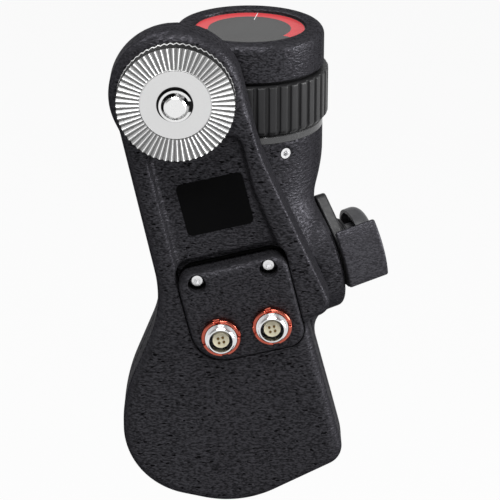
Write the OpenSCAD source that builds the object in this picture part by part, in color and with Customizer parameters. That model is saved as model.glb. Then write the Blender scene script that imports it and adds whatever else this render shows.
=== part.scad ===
// Camera side grip with a round display, an endless finger wheel and a spring-centred front rocker.
// Origin: centre of the toothed rosette, on its seating face. -Y points out of the rosette,
// +Z is the axis of the display head, +X is the side of the fingers.

/* [Overall] */
// Height over all, from the base of the handle to the top of the hub
grip_h = 140; // [139:0.1:143]
// Depth over all, from the end of the clamp bolt to the back of the finger wheel
grip_depth = 63.1; // [63:0.1:66]

/* [Rosette] */
// Diameter over the teeth
rosette_d = 31.75; // [28:0.25:34]
// Number of teeth
rosette_teeth = 60; // [36:4:72]
// Diameter of the plain seat inside the teeth
rosette_seat_d = 18.8; // [17:0.1:20]
// Height of a tooth at the rim
tooth_h = 0.8; // [0.5:0.1:1.2]
// Diameter of the centre hole
rosette_hole_d = 9.5; // [9:0.1:10.5]
// How far the rosette stands out of the casing
rosette_proud = 4.8; // [3.5:0.1:6]
// Depth of the rosette's spigot in the hub
rosette_spigot_l = 2.6; // [1.5:0.1:3]

/* [Clamp bolt] */
// Diameter of the bolt's thread
bolt_d = 6; // [5:0.5:6]
// Diameter of the shank behind the thread
bolt_shank_d = 4.6; // [3.5:0.1:4.8]
// Length of the thread
bolt_thread_l = 6; // [5:0.5:7]
// How far the end of the bolt stands out at rest
bolt_proud = 2.6; // [1.5:0.1:2.7]
// How far the bolt slides
bolt_travel = 5; // [3:0.5:5.5]
// Diameter of the bolt's head
bolt_head_d = 10; // [8:0.5:10]
// Height of the bolt's head
bolt_head_h = 4.5; // [3.5:0.5:5]
// Hexagon socket, across flats
bolt_socket = 5; // [3:0.5:5]

/* [Casing] */
// Lean of the arm and handle, in degrees
arm_tilt = 13.5; // [10:0.5:17]
// Radius of the hub round the rosette
hub_r = 18.2; // [17:0.1:19.5]
// How far the arm's back edge is set in from the hub
hub_step = 0.9; // [0.6:0.1:1.3]
// Depth of the arm from the rosette's seating face to the joint between the casings
split_y = 15.5; // [14:0.1:15.8]
// Half width of the arm under the hub
arm_half_w = 18; // [17:0.1:19]
// Reach of the shoulder to the front
shoulder_x = 27.6; // [27.2:0.1:29]
// Distance from the rosette down to the bottom of the shoulder
shoulder_drop = 71.2; // [68:0.1:75]
// Distance of the handle's front edge from the arm's centre line, under the shoulder
handle_front = 19.4; // [19:0.1:19.8]
// How much further out the handle's front edge is at the base
front_flare = 0.9; // [0:0.1:2]
// Distance from the rosette down to the waist of the handle
waist_drop = 58.6; // [57:0.1:60]
// Reach of the palm swell to the back
palm_reach = 43; // [40:0.1:45]
// Depth of the handle on the hand side of the joint
handle_depth = 30.5; // [28:0.5:34]
// Rounding of the casing's front edges
edge_r = 3.6; // [2:0.1:3.6]
// Depth of the channel along the arm
channel_depth = 2.8; // [1:0.1:3]
// Clearance of parts that are pushed together
fit_gap = 0.05; // [0.03:0.01:0.1]
// Clearance between parts that move past each other
run_gap = 0.3; // [0.25:0.05:0.4]

/* [Connector plate] */
// Width of the connector plate
plate_w = 30.6; // [28:0.1:31]
// Height of the connector plate
plate_h = 28.4; // [26:0.1:29]
// Thickness of the connector plate
plate_t = 7; // [6:0.1:7.5]
// How far the plate stands out of the casing
plate_proud = 1; // [0.5:0.1:1.5]
// Corner rounding of the plate
plate_r = 4; // [2:0.1:5]
// Width of the trench above the plate
trench_w = 2; // [1:0.1:3]
// Thickness of the seal under the plate
seal_t = 0.8; // [0.5:0.1:1]
// Distance between the plate's screws
plate_screw_pitch = 20.2; // [18:0.1:21]
// Diameter of a plate screw's head
plate_screw_d = 3; // [2.5:0.1:3.4]
// Distance between the two sockets
socket_pitch = 14.5; // [13.5:0.1:15.5]
// Diameter of a ring nut
nut_d = 11; // [10:0.1:11.5]
// Height of a ring nut
nut_h = 2.2; // [1.5:0.1:2.6]
// Outer diameter of a socket's shell
shell_d = 7.8; // [7:0.1:8.2]
// Inner diameter of a socket's shell
shell_bore_d = 6.5; // [6:0.1:6.6]
// How far a shell stands out of the plate
shell_proud = 4; // [3:0.1:4.2]
// Diameter of a socket's insulator
insert_d = 4.6; // [4:0.1:5]
// Distance between contacts
contact_pitch = 1.35; // [1.2:0.05:1.5]
// Diameter of a contact
contact_d = 0.7; // [0.5:0.05:0.8]

/* [Label] */
// Width of the label plate
label_w = 18.5; // [14:0.1:20]
// Height of the label plate
label_h = 15.2; // [10:0.1:16]
// Thickness of the label plate
label_t = 0.4; // [0.3:0.1:0.6]

/* [Display head] */
// Distance of the head's axis to the front of the rosette
head_x = 19.5; // [18:0.1:22]
// Height of the bezel's top above the rosette's centre
head_top = 11.1; // [10:0.1:14]
// Radius of the bezel
bezel_r = 20.8; // [20:0.1:21.5]
// Rounding of the bezel's top edge
bezel_edge = 2; // [1:0.1:2.6]
// Radius of the display window
glass_r = 15.6; // [15:0.1:16.2]
// Thickness of the display window
glass_t = 1.2; // [0.8:0.1:1.6]
// How far the window lies below the bezel's inner lip
glass_sunk = 0.9; // [0.4:0.1:1.4]
// Radius over the wheel's ribs
wheel_r = 22.1; // [21.6:0.1:22.3]
// Height of the wheel
wheel_h = 14.2; // [12:0.1:15]
// Number of flutes round the wheel
wheel_flutes = 42; // [30:1:54]
// Depth of a flute
flute_depth = 0.8; // [0.4:0.1:1.2]
// Width of a flute
flute_w = 1.1; // [0.8:0.1:1.6]
// Height of the gap between bezel and wheel
head_gap = 0.9; // [0.7:0.1:1.2]
// Height of the collar ring under the wheel
collar_h = 2.1; // [1.8:0.1:2.6]
// Radius of the collar ring and the neck
neck_r = 20.6; // [20.2:0.1:21]
// Radius of the tube inside the head
core_r = 15.9; // [15.5:0.1:16]
// Wall of the tube inside the head
core_wall = 2.4; // [1.8:0.1:2.8]
// Depth of the tube's spigot in the neck
spigot_l = 10; // [8:0.5:12]
// Diameter of a neck screw
neck_screw_d = 3; // [2.5:0.1:3.5]

/* [Front rocker] */
// Distance from the rosette down the arm to the rocker's axis
rocker_drop = 62.5; // [61:0.1:63.5]
// Depth of the rocker's axis behind the rosette's seating face
rocker_y = 32.5; // [32:0.1:33.5]
// Turn of the rocker's axis to the palm side, in degrees
rocker_turn = 19.3; // [17:0.1:21]
// Distance of the boss's face from the arm's centre line
boss_face_x = 26.8; // [26.4:0.1:27.4]
// Radius of the shoulder boss
boss_r = 16.4; // [16:0.1:16.8]
// Radius of the post
post_r = 8.4; // [7.6:0.1:8.6]
// How far the post's end lies below the boss's face
post_sunk = 1.2; // [1:0.1:1.6]
// Radius of the disc that carries the paddle
disc_r = 16.4; // [16:0.1:16.6]
// Thickness of the disc
disc_t = 3.1; // [2.5:0.1:3.4]
// Radius of the fin on top of the disc
fin_r = 18.2; // [17.8:0.1:18.5]
// Distance of the fin's two flats from the rocker's axis
fin_flat = 15; // [14.6:0.1:15.4]
// Radius of the disc's hub
disc_hub_r = 7.1; // [6.6:0.1:7.4]
// Length of the disc's hub
disc_hub_l = 3.5; // [3:0.1:4]
// Distance of the cap's mouth from the boss's face
cap_from = 9.1; // [8.8:0.1:9.6]
// Radius of the cap
cap_r = 8.9; // [8.6:0.1:9.4]
// Length of the cap
cap_l = 5.2; // [4.9:0.1:5.6]
// Diameter of the shaft
shaft_d = 6; // [5:0.1:6.2]
// Angle the paddle covers round the rocker's axis
paddle_angle = 60; // [50:1:66]
// Length of the paddle
paddle_l = 12.1; // [11:0.1:13]
// Thickness of the paddle
paddle_t = 2.6; // [2:0.1:3]
// Thickness of the paddle over the disc's rim
paddle_rim = 0.9; // [0.7:0.1:1]

/* [Fasteners and boards] */
// Thread diameter of the casing screws
casing_screw_d = 2.5; // [2:0.1:3]
// Thread diameter of the rosette screws
rosette_screw_d = 3; // [2.5:0.1:3]
// Thickness of the circuit boards
board_t = 1.6; // [1:0.1:2]
// Width of the main board
board_w = 22; // [18:0.5:23]
// Height of the main board
board_h = 40; // [34:0.5:42]
// Width of the flat cable
flex_w = 7; // [5:0.5:8]
// Thickness of the flat cable
flex_t = 0.6; // [0.4:0.1:1]

/* [Hidden] */
$fn = 64;

// Colours as they show
paint_dark = "#3a3b3e";
satin_dark = "#47484a";
satin_light = "#86878a";
bright = "#cfd0d2";
red = "#c8402f";
cream = "#e2dcc2";
gold = "#c79a3c";
board_green = "#2f5a40";

// Distance from the rosette down to the front end of the base
base_drop = 0.951 * (grip_h - hub_r);

// Levels of the casing, front to back
front_y = rosette_proud;
floor_y = front_y + channel_depth;
plate_y = front_y - plate_proud;
pocket_y = plate_y + plate_t + seal_t;
far_y = split_y + handle_depth;

// Levels of the head, top to bottom
lip_z = head_top - 0.7;
glass_z = lip_z - glass_sunk;
ledge_z = glass_z - glass_t;
bezel_z = 0;
wheel_top = bezel_z - head_gap;
wheel_low = wheel_top - wheel_h;
collar_top = wheel_low - run_gap;
neck_top = collar_top - collar_h;
spigot_low = neck_top - spigot_l;
core_top = 4;
bush_r = core_r + 1.3;
head_y = grip_depth - bolt_proud - wheel_r;
head_at = [head_x, head_y, 0];

// The hub's round goes on by this angle under its middle, then a hollow corner leads to the arm's back edge
hub_turn = 12;
hub_corner = hub_r / cos(45 + hub_turn / 2) * [cos(135 + hub_turn / 2), sin(135 + hub_turn / 2)];
hollow_x = hub_step - hub_r;
hollow_z = -(hollow_x * cos(hub_turn) + hub_r) / sin(hub_turn);

// The outline of arm and handle, seen from the rosette's side: corners with their rounding
shoulder_step = shoulder_x - handle_front;
arm_outline = [
    [hub_r, hub_r, hub_r - 0.05],
    [arm_half_w, -20, 60],
    [shoulder_x, -shoulder_drop, shoulder_step * 0.55],
    [handle_front, -shoulder_drop, shoulder_step * 0.3],
    [handle_front + front_flare, -base_drop, 5.9],
    [-12.2, -base_drop - 8.3, 29.5],
    [-palm_reach, -base_drop + 6.9, 21.5],
    [-palm_reach + 6.5, -base_drop * 0.716, 38],
    [-arm_half_w - 0.6, -waist_drop, 34],
    [hollow_x, hollow_z, 6],
    [hub_corner.x, hub_corner.y, hub_r - 0.05]
];

// Points of a rounded corner, each with the outward direction of the outline there
function corner_arc(before, at, after, r, steps) =
    let (
        a = (before - at) / norm(before - at),
        b = (after - at) / norm(after - at),
        half = acos(a * b) / 2,
        mid = (a + b) / norm(a + b),
        centre = at + mid * r / sin(half),
        turn = cross(a, b) > 0 ? 1 : -1,
        from = at + a * r / tan(half) - centre,
        first = atan2(from.y, from.x),
        sweep = -(180 - 2 * half) * turn
    )
    [for (i = [0:steps])
        let (t = first + sweep * i / steps, ray = [cos(t), sin(t)])
        [centre + r * ray, turn > 0 ? ray : -ray]];

function rounded_outline(corners, steps) =
    let (n = len(corners))
    [for (i = [0:n - 1])
        let (p = corners[(i + n - 1) % n], q = corners[i], s = corners[(i + 1) % n])
        each corner_arc([p.x, p.y], [q.x, q.y], [s.x, s.y], q.z, steps)];

casing_edge = rounded_outline(arm_outline, 9);

// Where the outline crosses a height
function crossings(z) =
    let (n = len(casing_edge))
    [for (i = [0:n - 1])
        let (p = casing_edge[i][0], q = casing_edge[(i + 1) % n][0])
        if ((p.y - z) * (q.y - z) < 0) p.x + (q.x - p.x) * (z - p.y) / (q.y - p.y)];
function back_edge(z) = min(crossings(z));
function front_line(z) = handle_front + front_flare * (-z - shoulder_drop) / (base_drop - shoulder_drop);
function front_edge(z) = min(front_line(z), max(crossings(z)));
outline_low = min([for (p = casing_edge) p[0].y]);

// A closed skin over rings that have the same number of points
module skin(rings) {
    n = len(rings[0]);
    last = len(rings) - 1;
    sides = [for (k = [0:last - 1], i = [0:n - 1])
        let (a = k * n + i, b = k * n + (i + 1) % n)
        each [[a, b, b + n], [a, b + n, a + n]]];
    low_cap = [for (i = [n - 1:-1:0]) i];
    high_cap = [for (i = [0:n - 1]) last * n + i];
    polyhedron([for (ring = rings) each ring], concat([low_cap], sides, [high_cap]));
}

// Places children in the leaning frame of arm and handle
module in_arm() {
    rotate([0, -arm_tilt, 0]) children();
}

// Turns a shape drawn along Z so that it runs along +Y from the given point
module along_y(x, y, z) {
    translate([x, y, z]) rotate([-90, 0, 0]) children();
}

// Places children on the rocker's axis: Z runs to the front, from the boss's face
module on_rocker() {
    in_arm() translate([boss_face_x, rocker_y, -rocker_drop]) rotate([0, 90, rocker_turn]) children();
}

// Places children on the head's axis
module on_head() {
    translate(head_at) children();
}

// A flat bar with rounded corners, in X and Z, from y to y + t
module rounded_bar(x, z, w, h, r, y, t) {
    corners = [[-w / 2, h / 2, r], [w / 2, h / 2, r], [w / 2, -h / 2, r], [-w / 2, -h / 2, r]];
    translate([x, y + t, z]) rotate([90, 0, 0])
        linear_extrude(t) polygon([for (p = rounded_outline(corners, 6)) p[0]]);
}

// Corners of the channel along the arm, with their rounding
panel_x = 2.6;
trench_top = 46.8;
channel_outline = [
    [-12.3, -13, 4],
    [14.5, -13, 4],
    [14.5, -30, 20],
    [18, -trench_top - 6, 0.5],
    [-12.6, -trench_top - 6, 0.5]
];
plate_top = trench_top + trench_w;
plate_z = -plate_top - plate_h / 2;
plate_screw_z = -plate_top - plate_h * 0.148;
socket_z = -plate_top - plate_h * 0.722;
socket_xs = [panel_x - socket_pitch / 2, panel_x + socket_pitch / 2];
plate_screw_xs = [panel_x - plate_screw_pitch / 2, panel_x + plate_screw_pitch / 2];
plate_screw_seat = plate_y + 5;
plate_screw_l = 5.4;

// Outline of the connector plate, grown by a margin all round and by more at the top
function plate_edge(margin, top) =
    let (
        left = panel_x - plate_w / 2 - margin,
        right = panel_x + plate_w / 2 + margin,
        high = -plate_top + top,
        low = -plate_top - plate_h - margin
    )
    rounded_outline([
        [left, high, plate_r],
        [right, high, plate_r],
        [right, low, plate_r + 1],
        [left, low, plate_r * 2.4]
    ], 5);
label_z = -32.4;

// Bolt, hub and rosette levels
bolt_seat_y = split_y - bolt_travel - 0.5;
washer_t = 1;
washer_y = bolt_seat_y + bolt_travel + 0.1;
thread_end_y = bolt_thread_l - bolt_proud;
bush_step_y = thread_end_y + 0.3;
spigot_y = front_y + rosette_spigot_l;
spigot_r = 8;
rosette_screw_pcd_r = 12;
rosette_screw_angles = [90, 210, 330];

// The space for the electronics in the handle
cavity_w = 25;
cavity_top = 50;
cavity_low = 100;
cavity_y = split_y + 15;

// The handle's stations, and the casing's joint to the neck
neck_straight = 6.5;
base_round = 24;
handle_rings = 9;
blend_rings = 9;
base_rings = 8;
ring_points = 40;
handle_power = 2.6;

function mix(a, b, t) = a + (b - a) * t;
function smooth(t) = t * t * (3 - 2 * t);
function signed_power(c, n) = sign(c) * pow(abs(c), 2 / n);
function arm_point(p) = [
    p.x * cos(arm_tilt) - p.z * sin(arm_tilt),
    p.y,
    p.x * sin(arm_tilt) + p.z * cos(arm_tilt)
];

// One section of the hand casing: centre, lean, half width, depth to the camera side and to the hand side
function section(centre, lean, half_w, near, far, power) = [for (i = [0:ring_points - 1])
    let (
        t = 360 * (i + 0.5) / ring_points,
        n = sin(t) > 0 ? power : 2,
        x = half_w * signed_power(cos(t), n),
        y = (sin(t) > 0 ? far : near) * signed_power(sin(t), n)
    )
    centre + [x * cos(lean), y, x * sin(lean)]];

function handle_mid(z) = (back_edge(z) + front_edge(z)) / 2;
function handle_half(z) = (front_edge(z) - back_edge(z)) / 2;
function handle_section(z, far) =
    section(arm_point([handle_mid(z), split_y, z]), arm_tilt, handle_half(z), 4, far, handle_power);

blend_from = [head_x, head_y, neck_top - neck_straight];
blend_to = arm_point([handle_mid(-waist_drop), split_y, -waist_drop]);

function blend_section(t) =
    let (s = smooth(t), c = mix(blend_from, blend_to, s))
    section(
        [c.x, c.y, mix(blend_from.z, blend_to.z, t)], arm_tilt * s,
        mix(neck_r, handle_half(-waist_drop), s), mix(neck_r, 4, s), mix(neck_r, handle_depth, s),
        mix(2, handle_power, s)
    );

function base_depth(s) = handle_depth * pow(1 - pow(s, 2.4), 1 / 2.4);

// A slab with straight walls, a chamfer at the back and a rounded edge at the front.
// The skin runs past both faces and a block trims it, so that each face is a single plane.
module rounded_slab(edge, back, front, chamfer, r, steps) {
    over = 0.3;
    reach = 200;
    function level(t) = [front + r * (1 - sin(t)), r * (1 - cos(t))];
    levels = concat(
        [[back + over, chamfer + over], [back - chamfer, 0]],
        [for (i = [0:steps - 1]) level(90 * i / steps)],
        [level(90) + over * (level(90) - level(90 - 90 / steps))]
    );
    intersection() {
        skin([for (level = levels) [for (p = edge)
            let (q = p[0] - p[1] * level[1])
            [q.x, level[0], q.y]]]);
        translate([-reach, front, -reach]) cube([2 * reach, back - front, 2 * reach]);
    }
}

// Chamfer along the joint of the casings
seam = 0.35;

// The palm side of the handle, flowing up into the round neck
module hand_block() {
    low = outline_low + base_round;
    skin(concat(
        [section([head_x, head_y, neck_top], 0, neck_r, neck_r, neck_r, 2)],
        [for (i = [0:blend_rings]) blend_section(i / blend_rings)],
        [for (i = [1:handle_rings])
            handle_section(mix(-waist_drop, low, i / handle_rings), handle_depth)],
        [for (i = [1:base_rings])
            let (s = 0.995 * sin(90 * i / base_rings))
            handle_section(low - s * base_round, base_depth(s))]
    ));
}

// The shoulder boss that carries the front rocker
module boss_block() {
    rim = 1.6;
    tail = boss_r * 1.5;
    on_rocker() rotate_extrude() polygon(concat(
        [[0, -tail], [boss_r * 0.7, -tail], [boss_r, -tail / 2]],
        [for (i = [0:6]) let (t = 15 * i) [boss_r - rim + rim * cos(t), -rim + rim * sin(t)]],
        [[0, 0]]
    ));
}

// A hexagon socket, drawn along Z
module hex_socket(across, depth) {
    cylinder(r = across / sqrt(3), h = depth, $fn = 6);
}

// A cap screw along +Y: its head starts at y = 0 and its shank runs to negative y
module cap_screw(d, head_d, head_h, length) {
    rotate([-90, 0, 0]) {
        difference() {
            cylinder(d = head_d, h = head_h);
            translate([0, 0, head_h * 0.45]) hex_socket(d * 0.8, head_h);
        }
        translate([0, 0, -length]) cylinder(d = d, h = length + 0.01);
    }
}

casing_screw_places = [[-14.2, -62], [-27, -90], [-20, -111], [8, -107.5], [-6.5, -45.5]];
casing_screw_seat = split_y + 6;
casing_screw_l = 13;
casing_head_d = casing_screw_d * 1.8;
casing_head_h = casing_screw_d;

board_y = split_y + 7;
board_z = -(cavity_top + cavity_low) / 2;
board_hole_x = board_w / 2 - 3;
board_hole_z = board_h / 2 - 3;
board_screw_d = 2;
standoff_d = 5;

module board_corners() {
    for (sx = [-1, 1], sz = [-1, 1])
        translate([panel_x + sx * board_hole_x, 0, board_z + sz * board_hole_z]) children();
}

module arm_casing() {
    color(paint_dark) in_arm() difference() {
        rounded_slab(casing_edge, split_y, front_y, seam, edge_r, 5);
        // Channel, trench and pocket for the connector plate
        translate([0, floor_y, 0]) rotate([90, 0, 0])
            linear_extrude(floor_y) polygon([for (p = rounded_outline(channel_outline, 6)) p[0]]);
        translate([0, pocket_y, 0]) rotate([90, 0, 0]) linear_extrude(pocket_y)
            polygon([for (p = plate_edge(run_gap, trench_w)) p[0]]);
        rounded_bar(
            panel_x, label_z, label_w + 2 * fit_gap, label_h + 2 * fit_gap, 1.5, floor_y - 1, 1 + label_t / 2
        );
        // Seat of the rosette, the clamp bolt and the rosette's screws
        along_y(0, front_y - 1, 0) cylinder(r = spigot_r + fit_gap, h = rosette_spigot_l + 1 + fit_gap);
        along_y(0, 0, 0) cylinder(d = bolt_shank_d + 2 * run_gap, h = split_y);
        along_y(0, bolt_seat_y, 0) cylinder(d = bolt_head_d + 0.8, h = split_y);
        for (a = rosette_screw_angles) {
            x = rosette_screw_pcd_r * cos(a);
            z = rosette_screw_pcd_r * sin(a);
            along_y(x, 0, z) cylinder(d = rosette_screw_d + 2 * fit_gap, h = split_y);
            along_y(x, split_y - rosette_screw_d - 0.2, z)
                cylinder(d = rosette_screw_d * 1.83 + 0.4, h = split_y);
        }
        // Plate screws, sockets and casing screws
        for (x = plate_screw_xs)
            along_y(x, 0, plate_screw_z) cylinder(d = plate_screw_d * 0.67, h = split_y - 1);
        for (x = socket_xs)
            along_y(x, 0, socket_z) cylinder(d = shell_d + 1.4 + 2 * run_gap, h = split_y + 1);
        for (p = casing_screw_places)
            along_y(p.x, casing_screw_seat - casing_screw_l - 0.5, p.y)
                cylinder(d = casing_screw_d, h = casing_screw_l);
    }
}

module hand_casing() {
    color(paint_dark) difference() {
        intersection() {
            union() {
                hand_block();
                boss_block();
            }
            in_arm() translate([-grip_h, split_y, -grip_h]) cube(2 * grip_h);
        }
        // Socket for the head's spigot and the way down for the cable
        on_head() translate([0, 0, spigot_low - fit_gap]) cylinder(r = core_r + fit_gap, h = spigot_l + 1);
        neck_screw_places() cylinder(d = neck_screw_d + 2 * fit_gap, h = neck_r);
        in_arm() {
            difference() {
                translate([panel_x - cavity_w / 2, split_y - 1, -cavity_low])
                    cube([cavity_w, cavity_y - split_y + 1, cavity_low - cavity_top]);
                board_corners() along_y(0, board_y + board_t, 0) cylinder(d = standoff_d, h = cavity_y);
            }
            board_corners() along_y(0, board_y, 0) cylinder(d = board_screw_d, h = 8);
            for (p = casing_screw_places) {
                along_y(p.x, split_y - 1, p.y) cylinder(d = casing_screw_d + 0.4, h = far_y);
                along_y(p.x, casing_screw_seat, p.y) cylinder(d = casing_head_d + 0.6, h = far_y + 10);
            }
        }
        cable_way();
        // Room for the rocker where the neck bulges past the boss's face, and bores of its post and sensor
        on_rocker() {
            translate([0, 0, disc_from - run_gap]) cylinder(r = fin_r + 0.5, h = paddle_l);
            translate([0, 0, -post_depth]) cylinder(r = post_r + fit_gap, h = post_depth + 1);
            translate([0, 0, -sensor_depth]) cylinder(r = post_r - 1.4, h = sensor_depth);
        }
    }
}

module casing_screws() {
    color(bright) in_arm() for (p = casing_screw_places)
        translate([p.x, casing_screw_seat, p.y])
            cap_screw(casing_screw_d, casing_head_d, casing_head_h, casing_screw_l);
}

// Soft plugs that close the wells of the casing screws, flush with the palm
module screw_plugs() {
    color("#2a2a2c") intersection() {
        hand_block();
        in_arm() for (p = casing_screw_places)
            along_y(p.x, casing_screw_seat + casing_head_h + 0.2, p.y)
                cylinder(d = casing_head_d + 0.6 - 2 * fit_gap, h = far_y);
    }
}

// Ring of radial teeth: flanks run to the centre, so that two such rings mesh over their full width
module tooth_ring(r0, r1) {
    n = 2 * rosette_teeth;
    function tooth_point(i, r) =
        let (a = 360 * i / n, h = (i % 2 == 0 ? -1 : 1) * tooth_h / 2 * r / r1)
        [r * cos(a), h, r * sin(a)];
    points = [for (i = [0:n - 1])
        let (p = tooth_point(i, r0), q = tooth_point(i, r1))
        each [p, q, [q.x, front_y, q.z], [p.x, front_y, p.z]]];
    faces = [for (i = [0:n - 1], j = [0:3])
        let (a = 4 * i, b = 4 * ((i + 1) % n), k = (j + 1) % 4)
        each [[a + j, b + j, b + k], [a + j, b + k, a + k]]];
    polyhedron(points, faces);
}

module rosette() {
    seat_r = rosette_seat_d / 2;
    color(bright) in_arm() difference() {
        union() {
            tooth_ring(seat_r + 0.3, rosette_d / 2);
            along_y(0, 0, 0) cylinder(r = seat_r, h = spigot_y);
            along_y(0, tooth_h, 0) cylinder(r = seat_r + 2, h = front_y - tooth_h);
        }
        along_y(0, front_y, 0) difference() {
            cylinder(r = seat_r + 1, h = spigot_y);
            cylinder(r = spigot_r, h = spigot_y);
        }
        along_y(0, -1, 0) cylinder(d = rosette_hole_d, h = spigot_y + 2);
        for (a = rosette_screw_angles)
            along_y(rosette_screw_pcd_r * cos(a), front_y - 3, rosette_screw_pcd_r * sin(a))
                cylinder(d = rosette_screw_d, h = spigot_y);
    }
}

module rosette_screws() {
    head_h = rosette_screw_d;
    color(bright) in_arm() for (a = rosette_screw_angles)
        translate([rosette_screw_pcd_r * cos(a), split_y - head_h - 0.2, rosette_screw_pcd_r * sin(a)])
            cap_screw(rosette_screw_d, rosette_screw_d * 1.83, head_h, split_y - head_h - 0.2 - front_y + 2.8);
}

module clamp_bolt() {
    r = bolt_d / 2;
    chamfer = 0.4;
    head_y0 = washer_y + washer_t + fit_gap;
    color(bright) along_y(0, 0, 0) difference() {
        rotate_extrude() polygon([
            [0, -bolt_proud], [r - chamfer, -bolt_proud], [r, -bolt_proud + chamfer], [r, thread_end_y],
            [bolt_shank_d / 2, thread_end_y], [bolt_shank_d / 2, head_y0], [bolt_head_d / 2, head_y0],
            [bolt_head_d / 2, head_y0 + bolt_head_h], [0, head_y0 + bolt_head_h]
        ]);
        translate([0, 0, head_y0 + bolt_head_h - 2.5]) hex_socket(bolt_socket, bolt_head_h);
    }
}

module bolt_bush() {
    pilot_r = rosette_hole_d / 2 - 0.3;
    pilot_h = 1.1;
    body_r = rosette_hole_d / 2 - fit_gap;
    wide_r = bolt_d / 2 + 0.75;
    guide_r = bolt_shank_d / 2 + fit_gap;
    key_w = 3;
    color(bright) along_y(0, 0, 0) difference() {
        rotate_extrude() polygon([
            [wide_r, -pilot_h], [pilot_r, -pilot_h], [pilot_r, 0.4], [body_r, 0.4], [body_r, spigot_y],
            [guide_r, spigot_y], [guide_r, bush_step_y], [wide_r, bush_step_y]
        ]);
        translate([0, -key_w / 2, -pilot_h - 1]) cube([rosette_hole_d, key_w, pilot_h + 1.3]);
    }
}

module bolt_washer() {
    color(bright) along_y(0, washer_y, 0) difference() {
        cylinder(d = bolt_head_d + 0.2, h = washer_t);
        translate([0, 0, -1]) cylinder(d = bolt_shank_d + 2 * fit_gap, h = washer_t + 2);
    }
}

module label_plate() {
    color("#0b0b0c") in_arm()
        rounded_bar(panel_x, label_z, label_w, label_h, 1.5, floor_y - label_t / 2, label_t);
}

module connector_plate() {
    color(paint_dark) in_arm() difference() {
        rounded_slab(plate_edge(0, 0), plate_y + plate_t, plate_y, 0.3, 1.4, 4);
        for (x = socket_xs)
            along_y(x, 0, socket_z) cylinder(d = shell_d + 1 + 2 * fit_gap, h = pocket_y + 1);
        for (x = plate_screw_xs) {
            along_y(x, 0, plate_screw_z) cylinder(d = plate_screw_d * 0.67 + 0.2, h = pocket_y + 1);
            along_y(x, 0, plate_screw_z) cylinder(d = plate_screw_d + 2, h = plate_screw_seat);
        }
    }
}

module plate_seal() {
    color("#1c1c1d") in_arm() difference() {
        translate([0, pocket_y, 0]) rotate([90, 0, 0]) linear_extrude(seal_t)
            polygon([for (p = plate_edge(-0.4, -0.4)) p[0]]);
        for (x = socket_xs)
            along_y(x, 0, socket_z) cylinder(d = shell_d + 1.2, h = pocket_y + 1);
        for (x = plate_screw_xs)
            along_y(x, 0, plate_screw_z) cylinder(d = plate_screw_d * 0.67 + 0.2, h = pocket_y + 1);
    }
}

module plate_screws() {
    color(bright) in_arm() for (x = plate_screw_xs)
        translate([x, plate_screw_seat, plate_screw_z]) mirror([0, 1, 0])
            cap_screw(plate_screw_d * 0.67, plate_screw_d, plate_screw_d * 0.6, plate_screw_l);
}

// Levels of a socket
shell_front = plate_y - shell_proud;
insert_front = shell_front + 1;
insert_step = plate_y + 2.2;
thread_r = shell_d / 2 + 0.5;

module at_sockets() {
    in_arm() for (x = socket_xs) along_y(x, 0, socket_z) children();
}

module contact_places() {
    for (sx = [-1, 1], sy = [-1, 1]) translate([sx, sy, 0] * contact_pitch / 2) children();
}

module connector_shells() {
    bore = shell_bore_d / 2;
    r = shell_d / 2;
    color("#d8d8da") at_sockets() rotate_extrude() polygon([
        [bore, shell_front], [r - 0.3, shell_front], [r, shell_front + 0.3], [r, plate_y - nut_h],
        [thread_r, plate_y - nut_h], [thread_r, split_y], [bore, split_y]
    ]);
}

module connector_nuts() {
    slots = 4;
    slot_w = nut_d * 0.145;
    slot_depth = nut_d * 0.082;
    color(red) at_sockets() difference() {
        translate([0, 0, plate_y - nut_h]) cylinder(d = nut_d, h = nut_h);
        cylinder(r = thread_r + fit_gap, h = plate_y + 1);
        for (i = [0:slots - 1]) rotate([0, 0, 45 + 360 * i / slots])
            translate([nut_d / 2 - slot_depth, -slot_w / 2, plate_y - nut_h - 1])
                cube([nut_d, slot_w, nut_h * 0.6 + 1]);
    }
}

module connector_inserts() {
    base_r = shell_bore_d / 2 - fit_gap;
    color(cream) at_sockets() difference() {
        rotate_extrude() polygon([
            [0, insert_front], [insert_d / 2, insert_front], [insert_d / 2, insert_step],
            [base_r, insert_step], [base_r, split_y], [0, split_y]
        ]);
        contact_places() cylinder(d = contact_d + 2 * fit_gap, h = split_y + 1);
    }
}

module connector_contacts() {
    color(gold) at_sockets() contact_places()
        translate([0, 0, insert_front - 0.2]) cylinder(d = contact_d, h = split_y - insert_front + 0.2);
}

module connector_board() {
    color(board_green) in_arm()
        rounded_bar(panel_x, socket_z, cavity_w - 2, nut_d + 4, 1, split_y, board_t);
}

module main_board() {
    chip_t = 1.2;
    chip = board_w * 0.4;
    color(board_green) in_arm() difference() {
        union() {
            rounded_bar(panel_x, board_z, board_w, board_h, 1.5, board_y, board_t);
            for (place = [[0, -0.05, 1], [-0.18, -0.3, 0.6], [0.22, 0.22, 0.5]])
                rounded_bar(
                    panel_x + place.x * board_w, board_z + place.y * board_h, chip * place.z, chip * place.z, 0.5,
                    board_y - chip_t, chip_t + 0.2
                );
        }
        board_corners() along_y(0, 0, 0) cylinder(d = board_screw_d + 0.2, h = cavity_y);
    }
}

module board_screws() {
    color(bright) in_arm() board_corners() translate([0, board_y, 0]) mirror([0, 1, 0])
        cap_screw(board_screw_d, board_screw_d * 1.9, board_screw_d * 0.7, 6);
}

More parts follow.
